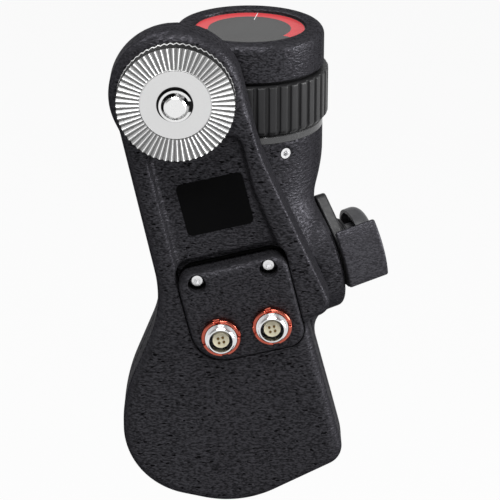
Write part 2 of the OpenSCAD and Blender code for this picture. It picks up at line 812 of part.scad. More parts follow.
// The flat cable's route from the display down the neck to the main board, with its lean at each point
cable_top = [head_x - 5, head_y - 4, core_top];
cable_neck = [head_x - 5, head_y - 4, spigot_low + 2];
cable_turn = arm_point([panel_x, split_y + 14, -cavity_top - 1]);
cable_board = arm_point([panel_x, board_y - flex_t / 2, -cavity_top - 4]);
cable_end = arm_point([panel_x, board_y - flex_t / 2, board_z + board_h / 2 - 5]);
cable_route = [cable_top, cable_neck, cable_turn, cable_board, cable_end];

module cable_way() {
    way = cable_turn - cable_neck;
    translate(cable_neck) rotate([0, acos(way.z / norm(way)), atan2(way.y, way.x)])
        cylinder(r = flex_w / 2 + 1, h = norm(way) + 2);
}

module flex_cable() {
    last = len(cable_route) - 1;
    color("#8a5a2a") skin([for (i = [0:last])
        let (
            lean = arm_tilt * min(1, i / 2),
            side = [cos(lean), 0, sin(lean)] * flex_w / 2,
            thick = [0, flex_t / 2, 0],
            c = cable_route[i]
        )
        [c + side - thick, c + side + thick, c - side + thick, c - side - thick]]);
}

flange_r = core_r + 1.6;
flange_t = 1.5;

module head_core() {
    inner = core_r - core_wall;
    color("#2a2b2d") on_head() rotate_extrude() polygon([
        [inner, spigot_low], [core_r, spigot_low], [core_r, neck_top], [flange_r, neck_top],
        [flange_r, neck_top + flange_t], [core_r, neck_top + flange_t], [core_r, core_top], [inner, core_top]
    ]);
}

// The encoder's groove in the collar and its ring in the wheel share these radii
encoder_r0 = bush_r + 0.5;
encoder_r1 = neck_r - 1;

module collar_ring() {
    groove = 1.2;
    color(satin_light) on_head() rotate_extrude() polygon([
        [flange_r + fit_gap, neck_top], [neck_r, neck_top], [neck_r, collar_top - 0.3],
        [neck_r - 0.3, collar_top], [encoder_r1, collar_top], [encoder_r1, collar_top - groove],
        [flange_r + 0.4, collar_top - groove], [flange_r + 0.4, collar_top], [flange_r + fit_gap, collar_top]
    ]);
}

module encoder_board() {
    color(board_green) on_head() translate([0, 0, collar_top - 1.2]) difference() {
        cylinder(r = encoder_r1 - fit_gap, h = 0.9);
        translate([0, 0, -1]) cylinder(r = flange_r + 0.4 + fit_gap, h = 3);
    }
}

encoder_t = 2.2;

module control_wheel() {
    chamfer_h = 1.4;
    chamfer_w = wheel_r - neck_r - 0.1;
    edge = 0.4;
    groove_r = wheel_r - flute_depth;
    color(satin_dark) on_head() difference() {
        intersection() {
            translate([0, 0, wheel_low]) linear_extrude(wheel_h) difference() {
                circle(r = wheel_r);
                for (i = [0:wheel_flutes - 1]) rotate(360 * i / wheel_flutes)
                    polygon([
                        [groove_r, -flute_w * 0.3], [groove_r, flute_w * 0.3],
                        [wheel_r + 0.2, flute_w * 0.6], [wheel_r + 0.2, -flute_w * 0.6]
                    ]);
            }
            rotate_extrude() polygon([
                [0, wheel_low], [wheel_r - chamfer_w, wheel_low], [wheel_r, wheel_low + chamfer_h],
                [wheel_r, wheel_top - edge], [wheel_r - edge, wheel_top], [0, wheel_top]
            ]);
        }
        translate([0, 0, wheel_low - 1]) cylinder(r = bush_r + fit_gap, h = wheel_h + 2);
        translate([0, 0, wheel_low - 1]) cylinder(r = encoder_r1, h = encoder_t + run_gap + 1);
    }
}

module wheel_bush() {
    low = neck_top + flange_t;
    color("#d9d6cc") on_head() translate([0, 0, low]) difference() {
        cylinder(r = bush_r, h = wheel_top - low);
        translate([0, 0, -1]) cylinder(r = core_r + fit_gap, h = wheel_h + 10);
    }
}

module encoder_ring() {
    color("#5a4a3a") on_head() translate([0, 0, wheel_low + run_gap]) difference() {
        cylinder(r = encoder_r1 - fit_gap, h = encoder_t);
        translate([0, 0, -1]) cylinder(r = encoder_r0, h = encoder_t + 2);
    }
}

module wheel_seal() {
    color("#101011") on_head() translate([0, 0, wheel_top + run_gap]) difference() {
        cylinder(r = bezel_r - 1, h = head_gap - run_gap);
        translate([0, 0, -1]) cylinder(r = core_r + fit_gap, h = head_gap + 2);
    }
}

display_r = glass_r - 1.2;

module bezel() {
    seat_r = glass_r + fit_gap;
    color(paint_dark) on_head() rotate_extrude() polygon(concat(
        [[core_r + fit_gap, bezel_z], [bezel_r, bezel_z]],
        [for (i = [0:8])
            let (t = 90 * i / 8)
            [bezel_r - bezel_edge + bezel_edge * cos(t), head_top - bezel_edge + bezel_edge * sin(t)]],
        [
            [seat_r, lip_z], [seat_r, ledge_z], [display_r + fit_gap, ledge_z],
            [display_r + fit_gap, core_top], [core_r + fit_gap, core_top]
        ]
    ));
}

module display_glass() {
    color("#6f7073") on_head() translate([0, 0, ledge_z]) cylinder(r = glass_r, h = glass_t);
}

module display_panel() {
    low = core_top + board_t;
    color("#26282b") on_head() translate([0, 0, low]) cylinder(r = display_r, h = ledge_z - low);
}

module display_board() {
    color(board_green) on_head() translate([0, 0, core_top]) cylinder(r = display_r, h = board_t);
}

neck_screw_drop = 3.4;
neck_screw_angle = -60.8;
neck_screws_round = 3;

module neck_screw_places() {
    on_head() for (i = [0:neck_screws_round - 1])
        rotate([0, 0, neck_screw_angle + 360 * i / neck_screws_round])
            translate([core_r, 0, neck_top - neck_screw_drop]) rotate([0, 90, 0]) children();
}

module neck_screws() {
    length = neck_r - core_r - 0.15;
    color(bright) neck_screw_places() translate([0, 0, 0.05]) difference() {
        cylinder(d = neck_screw_d, h = length);
        translate([0, 0, length - 1.2]) hex_socket(neck_screw_d * 0.5, 2);
    }
}

// Lengths along the rocker's axis, from the boss's face
post_depth = 6.6;
sensor_depth = 13.3;
bush_flange_t = 0.8;
disc_from = run_gap + 0.1;
disc_to = disc_from + disc_t;
disc_end = disc_to + disc_hub_l;
cap_to = cap_from + cap_l;
cap_seat = cap_to - 1.5;
cap_floor = cap_seat - 1.1;
shaft_from = -10;
magnet_t = 1.7;
rocker_bush_r = shaft_d / 2 + 2;
paddle_face = disc_r + fit_gap + paddle_rim;

module rocker_post() {
    color("#202123") on_rocker() difference() {
        translate([0, 0, -post_depth]) cylinder(r = post_r, h = post_depth - post_sunk);
        translate([0, 0, -post_depth - 1]) cylinder(r = rocker_bush_r + fit_gap, h = post_depth + 2);
    }
}

module rocker_bush() {
    color("#d9d6cc") on_rocker() difference() {
        union() {
            translate([0, 0, -post_depth]) cylinder(r = rocker_bush_r, h = post_depth - post_sunk + 0.1);
            translate([0, 0, -post_sunk]) cylinder(r = rocker_bush_r + 2, h = bush_flange_t);
        }
        translate([0, 0, -post_depth - 1]) cylinder(d = shaft_d + 2 * fit_gap, h = post_depth + 10);
    }
}

module rocker_shaft() {
    color(bright) on_rocker() difference() {
        translate([0, 0, shaft_from]) cylinder(d = shaft_d, h = cap_seat - shaft_from);
        translate([0, 0, cap_seat - 7]) cylinder(d = 2.6, h = 10);
    }
}

// A disc with a grooved hub. A fin stands up above the paddle, and the disc ends flat below the hub.
module rocker_disc() {
    edge = 0.4;
    groove = 0.4;
    groove_from = disc_end - 1.1;
    fin_from = fin_r * 0.6;
    flats = [[42, fin_flat - 0.4], [111, fin_flat + 0.4]];
    reach = 2 * fin_r;
    color("#2c2d2f") on_rocker() difference() {
        union() {
            rotate_extrude() polygon([
                [0, disc_from], [disc_r - edge, disc_from], [disc_r, disc_from + edge], [disc_r, disc_to - edge],
                [disc_r - edge, disc_to], [disc_hub_r, disc_to], [disc_hub_r, groove_from],
                [disc_hub_r - groove, groove_from], [disc_hub_r - groove, groove_from + groove],
                [disc_hub_r, groove_from + groove], [disc_hub_r, disc_end], [0, disc_end]
            ]);
            translate([0, 0, disc_from]) intersection() {
                cylinder(r = fin_r, h = disc_t);
                translate([-reach - fin_from, -reach, 0]) cube([reach, 2 * reach, disc_t]);
            }
        }
        cylinder(d = shaft_d + 0.04, h = disc_end + 1);
        translate([disc_hub_r + 0.3, -reach, 0]) cube([reach, 2 * reach, disc_end]);
        for (flat = flats) rotate([0, 0, -90 - flat.x])
            translate([flat.y, -reach, 0]) cube([reach, 2 * reach, disc_end]);
    }
}

// A round cap with an open mouth. Its stem stands on the disc's hub, and its end is a low dome.
module rocker_cap() {
    wall = 1;
    dome_h = 1.6;
    dome_r = shaft_d / 2 + 1.4;
    stem_r = shaft_d / 2 + 1.8;
    steps = 8;
    dome = [for (i = [0:steps])
        let (t = 86 * i / steps)
        [mix(dome_r, cap_r, cos(t)), mix(cap_to - dome_h, cap_to, sin(t))]];
    color("#2c2d2f") on_rocker() difference() {
        rotate_extrude() polygon(concat(
            [
                [0, disc_end], [stem_r, disc_end], [stem_r, cap_floor], [cap_r - wall, cap_floor],
                [cap_r - wall, cap_from], [cap_r, cap_from]
            ],
            dome, [[dome_r - 1, cap_seat], [0, cap_seat]]
        ));
        cylinder(d = shaft_d + 0.04, h = cap_to + 1);
    }
}

// A finger plate on the disc's rim, which follows a cylinder round the rocker's axis
module rocker_paddle() {
    edge = 0.7;
    from = disc_from;
    to = from + paddle_l;
    inner = paddle_face - paddle_t;
    reach = 2 * paddle_face;
    half = paddle_angle / 2;
    lift = -4.5;
    color(paint_dark) on_rocker() intersection() {
        rotate_extrude() polygon([
            [disc_r + fit_gap, from], [paddle_face - edge, from], [paddle_face, from + edge],
            [paddle_face, to - edge], [paddle_face - edge, to], [inner, to], [inner, disc_to + fit_gap],
            [disc_r + fit_gap, disc_to + fit_gap]
        ]);
        rotate([0, 0, -90 + lift]) linear_extrude(to + 1) polygon([
            [0, 0], reach * [cos(half), sin(half)], [reach, 0], reach * [cos(half), -sin(half)]
        ]);
    }
}

module rocker_screw() {
    color(bright) on_rocker() {
        difference() {
            translate([0, 0, cap_seat]) cylinder(r = shaft_d / 2, h = 1.2);
            translate([0, 0, cap_seat + 0.5]) hex_socket(2, 2);
        }
        translate([0, 0, cap_seat - 6]) cylinder(d = 2.5, h = 6.01);
    }
}

// A wound wire from one end to the other along the rocker's axis
module rocker_spring() {
    wire_r = 0.4;
    coil_r = shaft_d / 2 + 1.4;
    turns = 2;
    steps = 14;
    from = shaft_from + wire_r + 0.2;
    to = -post_depth - wire_r - fit_gap;
    color("#9a9b9d") on_rocker() skin([for (i = [0:turns * steps])
        let (a = 360 * i / steps, z = from + (to - from) * i / (turns * steps))
        [for (k = [0:5])
            let (b = -60 * k, r = coil_r + wire_r * cos(b))
            [r * cos(a), r * sin(a), z + wire_r * sin(b)]]]);
}

module rocker_magnet() {
    color("#77787b") on_rocker() translate([0, 0, shaft_from - magnet_t])
        cylinder(r = shaft_d / 2 + 0.6, h = magnet_t);
}

module sensor_board() {
    color(board_green) on_rocker() translate([0, 0, shaft_from - magnet_t - 1.4])
        cylinder(r = post_r - 1.4 - fit_gap, h = 0.8);
}

arm_casing();
hand_casing();
casing_screws();
screw_plugs();
rosette();
rosette_screws();
clamp_bolt();
bolt_bush();
bolt_washer();
label_plate();
connector_plate();
plate_seal();
plate_screws();
connector_shells();
connector_nuts();
connector_inserts();
connector_contacts();
connector_board();
main_board();
board_screws();
flex_cable();
head_core();
collar_ring();
encoder_board();
control_wheel();
wheel_bush();
encoder_ring();
wheel_seal();
bezel();
display_glass();
display_panel();
display_board();
neck_screws();
rocker_post();
rocker_bush();
rocker_shaft();
rocker_disc();
rocker_cap();
rocker_paddle();
rocker_screw();
rocker_spring();
rocker_magnet();
sensor_board();
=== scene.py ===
"""Dresses the camera side grip: painted casings, display head, finger wheel, front rocker and sockets."""

import math

import bpy
import numpy as np
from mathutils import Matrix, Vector


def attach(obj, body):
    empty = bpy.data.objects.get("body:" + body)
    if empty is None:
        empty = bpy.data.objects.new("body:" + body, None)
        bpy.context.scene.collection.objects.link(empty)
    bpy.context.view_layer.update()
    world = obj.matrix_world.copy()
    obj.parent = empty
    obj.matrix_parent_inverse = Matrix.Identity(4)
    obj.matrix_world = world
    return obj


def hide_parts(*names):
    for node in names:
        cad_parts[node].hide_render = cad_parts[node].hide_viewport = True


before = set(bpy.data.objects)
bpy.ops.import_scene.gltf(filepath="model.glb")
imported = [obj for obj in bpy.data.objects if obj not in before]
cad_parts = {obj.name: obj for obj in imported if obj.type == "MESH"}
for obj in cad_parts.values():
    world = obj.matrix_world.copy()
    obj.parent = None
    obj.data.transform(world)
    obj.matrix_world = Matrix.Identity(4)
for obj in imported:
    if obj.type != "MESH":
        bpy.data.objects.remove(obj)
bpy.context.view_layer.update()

# Sizes are in millimetres, as in the part's source.
# A name that ends in EDGE is the width of a softened edge.
# A name for one pair of numbers says where a soft change begins and ends.
MM = 0.001
FIT_GAP = 0.05
RUN_GAP = 0.3
WELL_EDGE = 0.4

# Arm and handle, in a frame that leans by TILT: x runs to the front control, y to the hand side and z up
TILT = math.radians(13.5)
COS, SIN = math.cos(TILT), math.sin(TILT)
GRIP_H = 140
FRONT_Y = 4.8
FLOOR_Y = 7.6
POCKET_Y = 11.6
SPLIT_Y = 15.5
SHELL_INSET = 0.03
EDGE_R = 3.6
CRISP_R = 1.4
SEAM_R = 0.35
HUB_R = 18.2
HUB_STEP = 0.9
ARM_HALF_W = 18.0
SHOULDER_X = 27.6
SHOULDER_DROP = 71.2
HANDLE_FRONT = 19.4
FRONT_FLARE = 0.9
BASE_DROP = 0.951 * (GRIP_H - HUB_R)
WAIST_DROP = 58.6
PALM_REACH = 43.0
HANDLE_NEAR = 4
HANDLE_DEPTH = 30.5
HANDLE_POWER = 2.6
ROUND_POWER = 2
BASE_ROUND = 24.0
BASE_POWER = 2.4
BASE_END = 0.9995
CRISP_X = (6, 12)
CRISP_DROP = (4, 16)
CRISP_END = (-SHOULDER_DROP - 2, -SHOULDER_DROP + 6)
CHANNEL_SLOPE = 0.55
CHANNEL_FLOOR_EDGE = 1.2
CHANNEL_RIM_EDGE = 0.9
POCKET_RIM_EDGE = 0.8
# Each screw's x and z
CASING_SCREWS = [(-14.2, -62), (-27, -90), (-20, -111), (8, -107.5), (-6.5, -45.5)]
PLUG_WELL_R = 2.55
PLUG_FLOOR_Y = SPLIT_Y + 8.7

# Connector plate and sockets, in the leaning frame
PANEL_X = 2.6
PLATE_Y = 3.8
PLATE_W = 30.6
PLATE_H = 28.4
PLATE_T = 7.0
PLATE_R = 4.0
PLATE_GROWTH = 0.18
PLATE_SET_BACK = 0.9
PLATE_BEVEL = 1.4
PLATE_TOP_BEVEL = 2.8
PLATE_BACK_R = 0.3
TRENCH_TOP = 46.8
TRENCH_W = 2.0
PLATE_TOP = TRENCH_TOP + TRENCH_W
BEVEL_CHANGE = (-PLATE_TOP - 7, -PLATE_TOP - 1)
PLATE_SCREW_Z = -PLATE_TOP - PLATE_H * 0.148
PLATE_SCREW_PITCH = 20.2
PLATE_SCREW_SEAT = PLATE_Y + 5
PLATE_SCREW_WELL_R = 2.5
PLATE_SCREW_EDGE = 0.35
SOCKET_PITCH = 14.5
SOCKET_Z = -PLATE_TOP - PLATE_H * 0.722
NUT_R = 5.5
NUT_H = 2.2
NUT_BORE_R = 4.45
NUT_FACE_R = 0.7
NUT_MOUTH_R = 0.25
NUT_FRONT_Y = PLATE_Y - NUT_H
NUT_SLOT_W = 0.145 * 2 * NUT_R
NUT_SLOT_DEPTH = 0.082 * 2 * NUT_R
NUT_SLOT_Y = NUT_FRONT_Y + 0.6 * NUT_H
NUT_SLOT_EDGE = 0.2

# Rosette and clamp bolt, about the y axis
ROSETTE_TEETH = 60
BOLT_WELL_R = 5.4
BOLT_WELL_FLOOR_Y = SPLIT_Y - 5.5 - FIT_GAP
ROSETTE_SCREW_RING = 12.0
ROSETTE_SCREW_ANGLES = [math.radians(a) for a in (90, 210, 330)]
ROSETTE_SCREW_WELL_R = 2.95
ROSETTE_SCREW_SEAT_Y = SPLIT_Y - 3.2

# Display head, finger wheel and neck, about an upright axis
HEAD_X = 19.5
HEAD_Y = 38.4
HEAD_TOP = 11.1
LIP_Z = HEAD_TOP - 0.7
GLASS_R = 15.6
GLASS_SEAT_R = GLASS_R + FIT_GAP
GLASS_LEDGE_R = GLASS_R - 1.15
GLASS_Z = LIP_Z - 0.9
LEDGE_Z = GLASS_Z - 1.2
BEZEL_R = 20.8
BEZEL_STEP_Z = 4
CORE_R = 15.9
WHEEL_R = 22.1
WHEEL_BORE_R = CORE_R + 2
WHEEL_TOP = -0.9
WHEEL_LOW = WHEEL_TOP - 14.2
WHEEL_FLUTES = 42
FLUTE_DEPTH = 0.8
FLUTE_EDGE = 0.25
# Where a flute's wall begins and ends, from the middle of a rib at 0 to the middle of a flute at 1
FLUTE_WALL = (0.50, 0.78)
COLLAR_GAP = 0.3
COLLAR_H = 2.1
NECK_R = 20.6
NECK_TOP = WHEEL_LOW - COLLAR_GAP - COLLAR_H
NECK_TOP_R = 0.3
NECK_STRAIGHT = 6.5
NECK_SCREW_DROP = 3.4
NECK_SCREW_ANGLES = [math.radians(-60.8 + 120 * i) for i in range(3)]
NECK_SCREW_WELL_R = 1.6
NECK_SCREW_EDGE = 0.5

# Front control, in its own frame: x runs down, y to the palm side and z along the axis away from the boss
ROCKER_DROP = 62.5
ROCKER_Y = 32.5
ROCKER_TURN = math.radians(19.3)
BOSS_FACE_X = 26.8
BOSS_R = 16.4
BOSS_FACE_R = 1.6
BOSS_TAIL = 1.5 * BOSS_R
BOSS_TAPER = 0.3 * BOSS_R
BOSS_EDGE = 6
POST_R = 8.4
POST_DEPTH = 6.6
POST_EDGE = 0.3
SHAFT_R = 3.0
DISC_R = 16.4
DISC_FROM = 0.4
DISC_TO = DISC_FROM + 3.1
DISC_RIM_R = 0.45
DISC_HUB_R = 7.1
DISC_HUB_TOP_R = 0.25
DISC_HUB_EDGE = 0.5
DISC_END = DISC_TO + 3.5
DISC_BORE_R = SHAFT_R + 0.02
DISC_LOW = DISC_HUB_R + 0.3
DISC_LOW_R = 0.5
GROOVE_R = 0.42
GROOVE_Z = DISC_END - 0.9
GROOVE_EDGE = 0.1
FIN_R = 18.2
FIN_ROOM = 0.5
FIN_FOOT = 0.6 * FIN_R
# Each flat's direction and its distance from the axis
FIN_FLATS = [(math.radians(42), 14.6), (math.radians(111), 15.4)]
FIN_FLAT_R = 0.9
CAP_R = 8.9
CAP_HOLLOW_R = CAP_R - 1
CAP_STEM_R = SHAFT_R + 1.8
CAP_SEAT_R = SHAFT_R + 0.4
CAP_MOUTH_R = SHAFT_R + 0.6
CAP_FROM = 9.1
CAP_TO = CAP_FROM + 5.2
CAP_SEAT = CAP_TO - 1.5
CAP_FLOOR = CAP_SEAT - 1.1
PADDLE_FACE = DISC_R + FIT_GAP + 0.9
PADDLE_T = 2.6
PADDLE_L = 12.1
PADDLE_HALF = math.radians(30)
PADDLE_LIFT = math.radians(4.5)
PADDLE_RIM_R = 0.7
PADDLE_SEAT_EDGE = 0.2

# Outlines in the leaning frame: x, z and the corner's radius
HUB_TURN = math.radians(12)
HUB_CORNER_R = HUB_R / math.cos(math.pi / 4 + HUB_TURN / 2)
HUB_CORNER_ANGLE = math.pi * 0.75 + HUB_TURN / 2
HUB_ROUND = HUB_R - 0.05
HOLLOW_X = HUB_STEP - HUB_R
HOLLOW_Z = -(HOLLOW_X * math.cos(HUB_TURN) + HUB_R) / math.sin(HUB_TURN)
SHOULDER_STEP = SHOULDER_X - HANDLE_FRONT
CHANNEL_LOW = -TRENCH_TOP - 6
ARM_CORNERS = [
    (HUB_R, HUB_R, HUB_ROUND),
    (ARM_HALF_W, -20, 60),
    (SHOULDER_X, -SHOULDER_DROP, SHOULDER_STEP * 0.55),
    (HANDLE_FRONT, -SHOULDER_DROP, SHOULDER_STEP * 0.3),
    (HANDLE_FRONT + FRONT_FLARE, -BASE_DROP, 5.9),
    (-12.2, -BASE_DROP - 8.3, 29.5),
    (-PALM_REACH, -BASE_DROP + 6.9, 21.5),
    (-PALM_REACH + 6.5, -BASE_DROP * 0.716, 38),
    (-ARM_HALF_W - 0.6, -WAIST_DROP, 34),
    (HOLLOW_X, HOLLOW_Z, 6),
    (HUB_CORNER_R * math.cos(HUB_CORNER_ANGLE), HUB_CORNER_R * math.sin(HUB_CORNER_ANGLE), HUB_ROUND),
]
CHANNEL_CORNERS = [
    (-12.3, -13, 4),
    (14.5, -13, 4),
    (14.5, -30, 20),
    (18, CHANNEL_LOW, 0.5),
    (-12.6, CHANNEL_LOW, 0.5),
]

# How finely the shapes are meshed
ARM_STEP = 0.5
HAND_STEP = 0.55
SMALL_STEP = 0.22
NUT_STEP = 0.15
NECK_ROWS = 48
HANDLE_ROWS = 48
BASE_ROWS = 40
POINTS_PER_FLUTE = 14
CAP_SEGMENTS = 128
BEZEL_SEGMENTS = 160
SHARP_ANGLE = math.radians(40)


def plate_corners(margin, top):
    """Corners of the connector plate's outline, grown by a margin, and above by top instead."""
    left = PANEL_X - PLATE_W / 2 - margin
    right = PANEL_X + PLATE_W / 2 + margin
    high = -PLATE_TOP + top
    low = -PLATE_TOP - PLATE_H - margin
    return [
        (left, high, PLATE_R),
        (right, high, PLATE_R),
        (right, low, PLATE_R + 1),
        (left, low, PLATE_R * 2.4),
    ]


def mix(a, b, t):
    return a + (b - a) * t


def ease(t):
    return t * t * (3 - 2 * t)


def rise(value, low, high):
    """A soft step: 0 below low and 1 above high."""
    return ease(np.clip((value - low) / (high - low), 0, 1))


# Outlines and distance fields


def corner_arc(before, at, after, r, steps):
    """Points of a rounded corner."""
    a = (before - at) / np.linalg.norm(before - at)
    b = (after - at) / np.linalg.norm(after - at)
    half = math.acos(float(np.clip(a @ b, -1, 1))) / 2
    centre = at + (a + b) / np.linalg.norm(a + b) * r / math.sin(half)
    start = at + a * r / math.tan(half) - centre
    turn = -math.copysign(math.pi - 2 * half, a[0] * b[1] - a[1] * b[0])
    angles = np.linspace(0, turn, steps + 1)
    across = np.array([-start[1], start[0]])
    return centre + np.cos(angles)[:, None] * start + np.sin(angles)[:, None] * across


def rounded_outline(corners, steps, closed=True):
    """A run of straight lines with rounded corners, from (x, y, radius) corners."""
    corners = np.asarray(corners, float)
    last = len(corners) - 1
    runs = []
    for i, (x, y, r) in enumerate(corners):
        if r == 0 or (not closed and i in (0, last)):
            runs.append([[x, y]])
            continue
        before, after = corners[i - 1, :2], corners[(i + 1) % (last + 1), :2]
        runs.append(corner_arc(before, corners[i, :2], after, r, steps))
    return np.concatenate(runs)


def outline_distance(outline, step=0.25, margin=6.0):
    """A function of (x, z) that reads the distance from an outline off a fine table, negative inside it."""
    low = outline.min(0) - margin
    size = np.ceil((outline.max(0) + margin - low) / step).astype(int) + 1
    x = low[0] + step * np.arange(size[0])[:, None]
    z = low[1] + step * np.arange(size[1])[None, :]
    nearest = np.full(size, np.inf)
    inside = np.zeros(size, bool)
    for p, q in zip(outline, np.roll(outline, -1, 0)):
        run = q - p
        along = np.clip(((x - p[0]) * run[0] + (z - p[1]) * run[1]) / max(run @ run, 1e-12), 0, 1)
        nearest = np.minimum(nearest, np.hypot(x - p[0] - along * run[0], z - p[1] - along * run[1]))
        if run[1] != 0:
            inside ^= ((p[1] > z) != (q[1] > z)) & (x < p[0] + run[0] * (z - p[1]) / run[1])
    table = np.where(inside, -nearest, nearest)

    def read(px, pz):
        u = np.clip((px - low[0]) / step, 0, size[0] - 1.001)
        v = np.clip((pz - low[1]) / step, 0, size[1] - 1.001)
        i, j = u.astype(int), v.astype(int)
        s, t = u - i, v - j
        near = table[i, j] * (1 - s) + table[i + 1, j] * s
        far = table[i, j + 1] * (1 - s) + table[i + 1, j + 1] * s
        return near * (1 - t) + far * t

    return read


def smooth_max(a, b, k):
    """The larger of two fields, with the edge between them softened over k."""
    h = np.maximum(k - np.abs(a - b), 0) / k
    return np.maximum(a, b) + h * h * k / 4


def smooth_min(a, b, k):
    """The smaller of two fields, with the edge between them softened over k."""
    return -smooth_max(-a, -b, k)


def rounded_both(a, b, r):
    """What lies inside both fields, with the edge between them rounded to a radius."""
    p, q = a + r, b + r
    return np.minimum(np.maximum(p, q), 0) + np.hypot(np.maximum(p, 0), np.maximum(q, 0)) - r


def cut(field, tool, k):
    """The field without the tool, with the edge softened over k."""
    return smooth_max(field, -tool, k)


def settle(points, field, reach):
    """Points moved onto the zero level of a field, by at most a reach."""
    probe = 0.03
    least_steep = 0.05
    for _ in range(2):
        slope = []
        for axis in range(3):
            ahead, behind = points.copy(), points.copy()
            ahead[:, axis] += probe
            behind[:, axis] -= probe
            slope.append((field(*ahead.T) - field(*behind.T)) / (2 * probe))
        slope = np.stack(slope, 1)
        steep = np.maximum((slope ** 2).sum(1), least_steep)
        move = -(field(*points.T) / steep)[:, None] * slope
        length = np.maximum(np.linalg.norm(move, axis=1), 1e-9)
        points = points + move * np.minimum(1, reach / length)[:, None]
    return points


def surface_net(field, low, high, step):
    """Points and quads over the zero level of a field in a box.

    Each cell that the level crosses has one point.
    """
    axes = [np.arange(a, b + step, step) for a, b in zip(low, high)]
    value = field(*np.meshgrid(*axes, indexing="ij"))
    cells = np.array(value.shape) - 1
    total = np.zeros((cells.prod(), 3))
    count = np.zeros(cells.prod())
    quads = []
    for axis in range(3):
        a, b = (axis + 1) % 3, (axis + 2) % 3
        v0 = np.delete(value, -1, axis)
        v1 = np.delete(value, 0, axis)
        edge = np.argwhere((v0 < 0) != (v1 < 0))
        within = (edge[:, [a, b]] > 0).all(1) & (edge[:, [a, b]] < cells[[a, b]]).all(1)
        edge = edge[within]
        first, second = v0[tuple(edge.T)], v1[tuple(edge.T)]
        crossing = edge.astype(float)
        crossing[:, axis] += first / (first - second)
        corners = []
        for da, db in ((0, 0), (1, 0), (1, 1), (0, 1)):
            cell = edge.copy()
            cell[:, a] -= da
            cell[:, b] -= db
            flat = np.ravel_multi_index(cell.T, cells)
            corners.append(flat)
            count += np.bincount(flat, minlength=len(count))
            for k in range(3):
                total[:, k] += np.bincount(flat, crossing[:, k], minlength=len(count))
        quad = np.stack(corners, 1)
        quad[first > 0] = quad[first > 0][:, ::-1]
        quads.append(quad)
    used = np.flatnonzero(count)
    index = np.full(len(count), -1)
    index[used] = np.arange(len(used))
    points = np.array(low) + step * total[used] / count[used, None]
    return settle(points, field, step * 0.7), index[np.concatenate(quads)]


# Frames


def arm_to_row(points):
    """Points of the leaning frame of arm and handle, in the row frame."""
    x, y, z = np.asarray(points, float).T
    return np.stack([x * COS - z * SIN, y, x * SIN + z * COS], 1)


def rocker_to_row(points):
    """Points of the rocker's frame, in the row frame."""
    x, y, z = np.asarray(points, float).T
    c, s = math.cos(ROCKER_TURN), math.sin(ROCKER_TURN)
    leaning = [BOSS_FACE_X + z * c - y * s, ROCKER_Y + z * s + y * c, -ROCKER_DROP - x]
    return arm_to_row(np.stack(leaning, 1))


def arm_to_rocker(x, y, z):
    """Points of the leaning frame, in the rocker's frame."""
    c, s = math.cos(ROCKER_TURN), math.sin(ROCKER_TURN)
    ahead, aside = x - BOSS_FACE_X, y - ROCKER_Y
    return -z - ROCKER_DROP, aside * c - ahead * s, ahead * c + aside * s


def head_to_row(points):
    """Points about the head's axis, in the row frame."""
    return np.asarray(points, float) + [HEAD_X, HEAD_Y, 0]


# Meshes


def add_piece(name, points, faces, body, replaced, material):
    """A piece from points in millimetres in the row frame, smooth except at its sharp edges."""
    mesh = bpy.data.meshes.new(name)
    mesh.from_pydata((np.asarray(points) * MM).tolist(), [], np.asarray(faces).tolist())
    mesh.update()
    mesh.shade_smooth()
    mesh.set_sharp_from_angle(angle=SHARP_ANGLE)
    mesh.materials.append(material)
    piece = bpy.data.objects.new(name, mesh)
    bpy.context.collection.objects.link(piece)
    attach(piece, body)
    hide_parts(*replaced)


def rings_to_mesh(rings):
    """Quads between closed rings of equal length, the last ring joined to the first."""
    rings = np.asarray(rings, float)
    many, n = rings.shape[:2]
    k, i = np.meshgrid(np.arange(many), np.arange(n), indexing="ij")
    after, beside = (k + 1) % many, (i + 1) % n
    faces = np.stack([k * n + i, k * n + beside, after * n + beside, after * n + i], -1)
    return rings.reshape(-1, 3), faces.reshape(-1, 4)


def lathe(profile, segments):
    """A ring from a closed (radius, z) profile that runs counterclockwise."""
    angle = np.linspace(0, 2 * math.pi, segments, endpoint=False)
    rings = [np.stack([r * np.cos(angle), r * np.sin(angle), np.full(segments, z)], 1) for r, z in profile]
    return rings_to_mesh(rings)


# Shapes of the casings and the plate, all in the leaning frame

arm_outline = rounded_outline(ARM_CORNERS, steps=24)
plate_outline = rounded_outline(plate_corners(PLATE_GROWTH, -PLATE_SET_BACK), steps=10)
arm_edge = outline_distance(arm_outline)
channel_edge = outline_distance(rounded_outline(CHANNEL_CORNERS, steps=12))
pocket_edge = outline_distance(rounded_outline(plate_corners(RUN_GAP, TRENCH_W), steps=10))
plate_edge = outline_distance(plate_outline, step=0.1, margin=3.0)


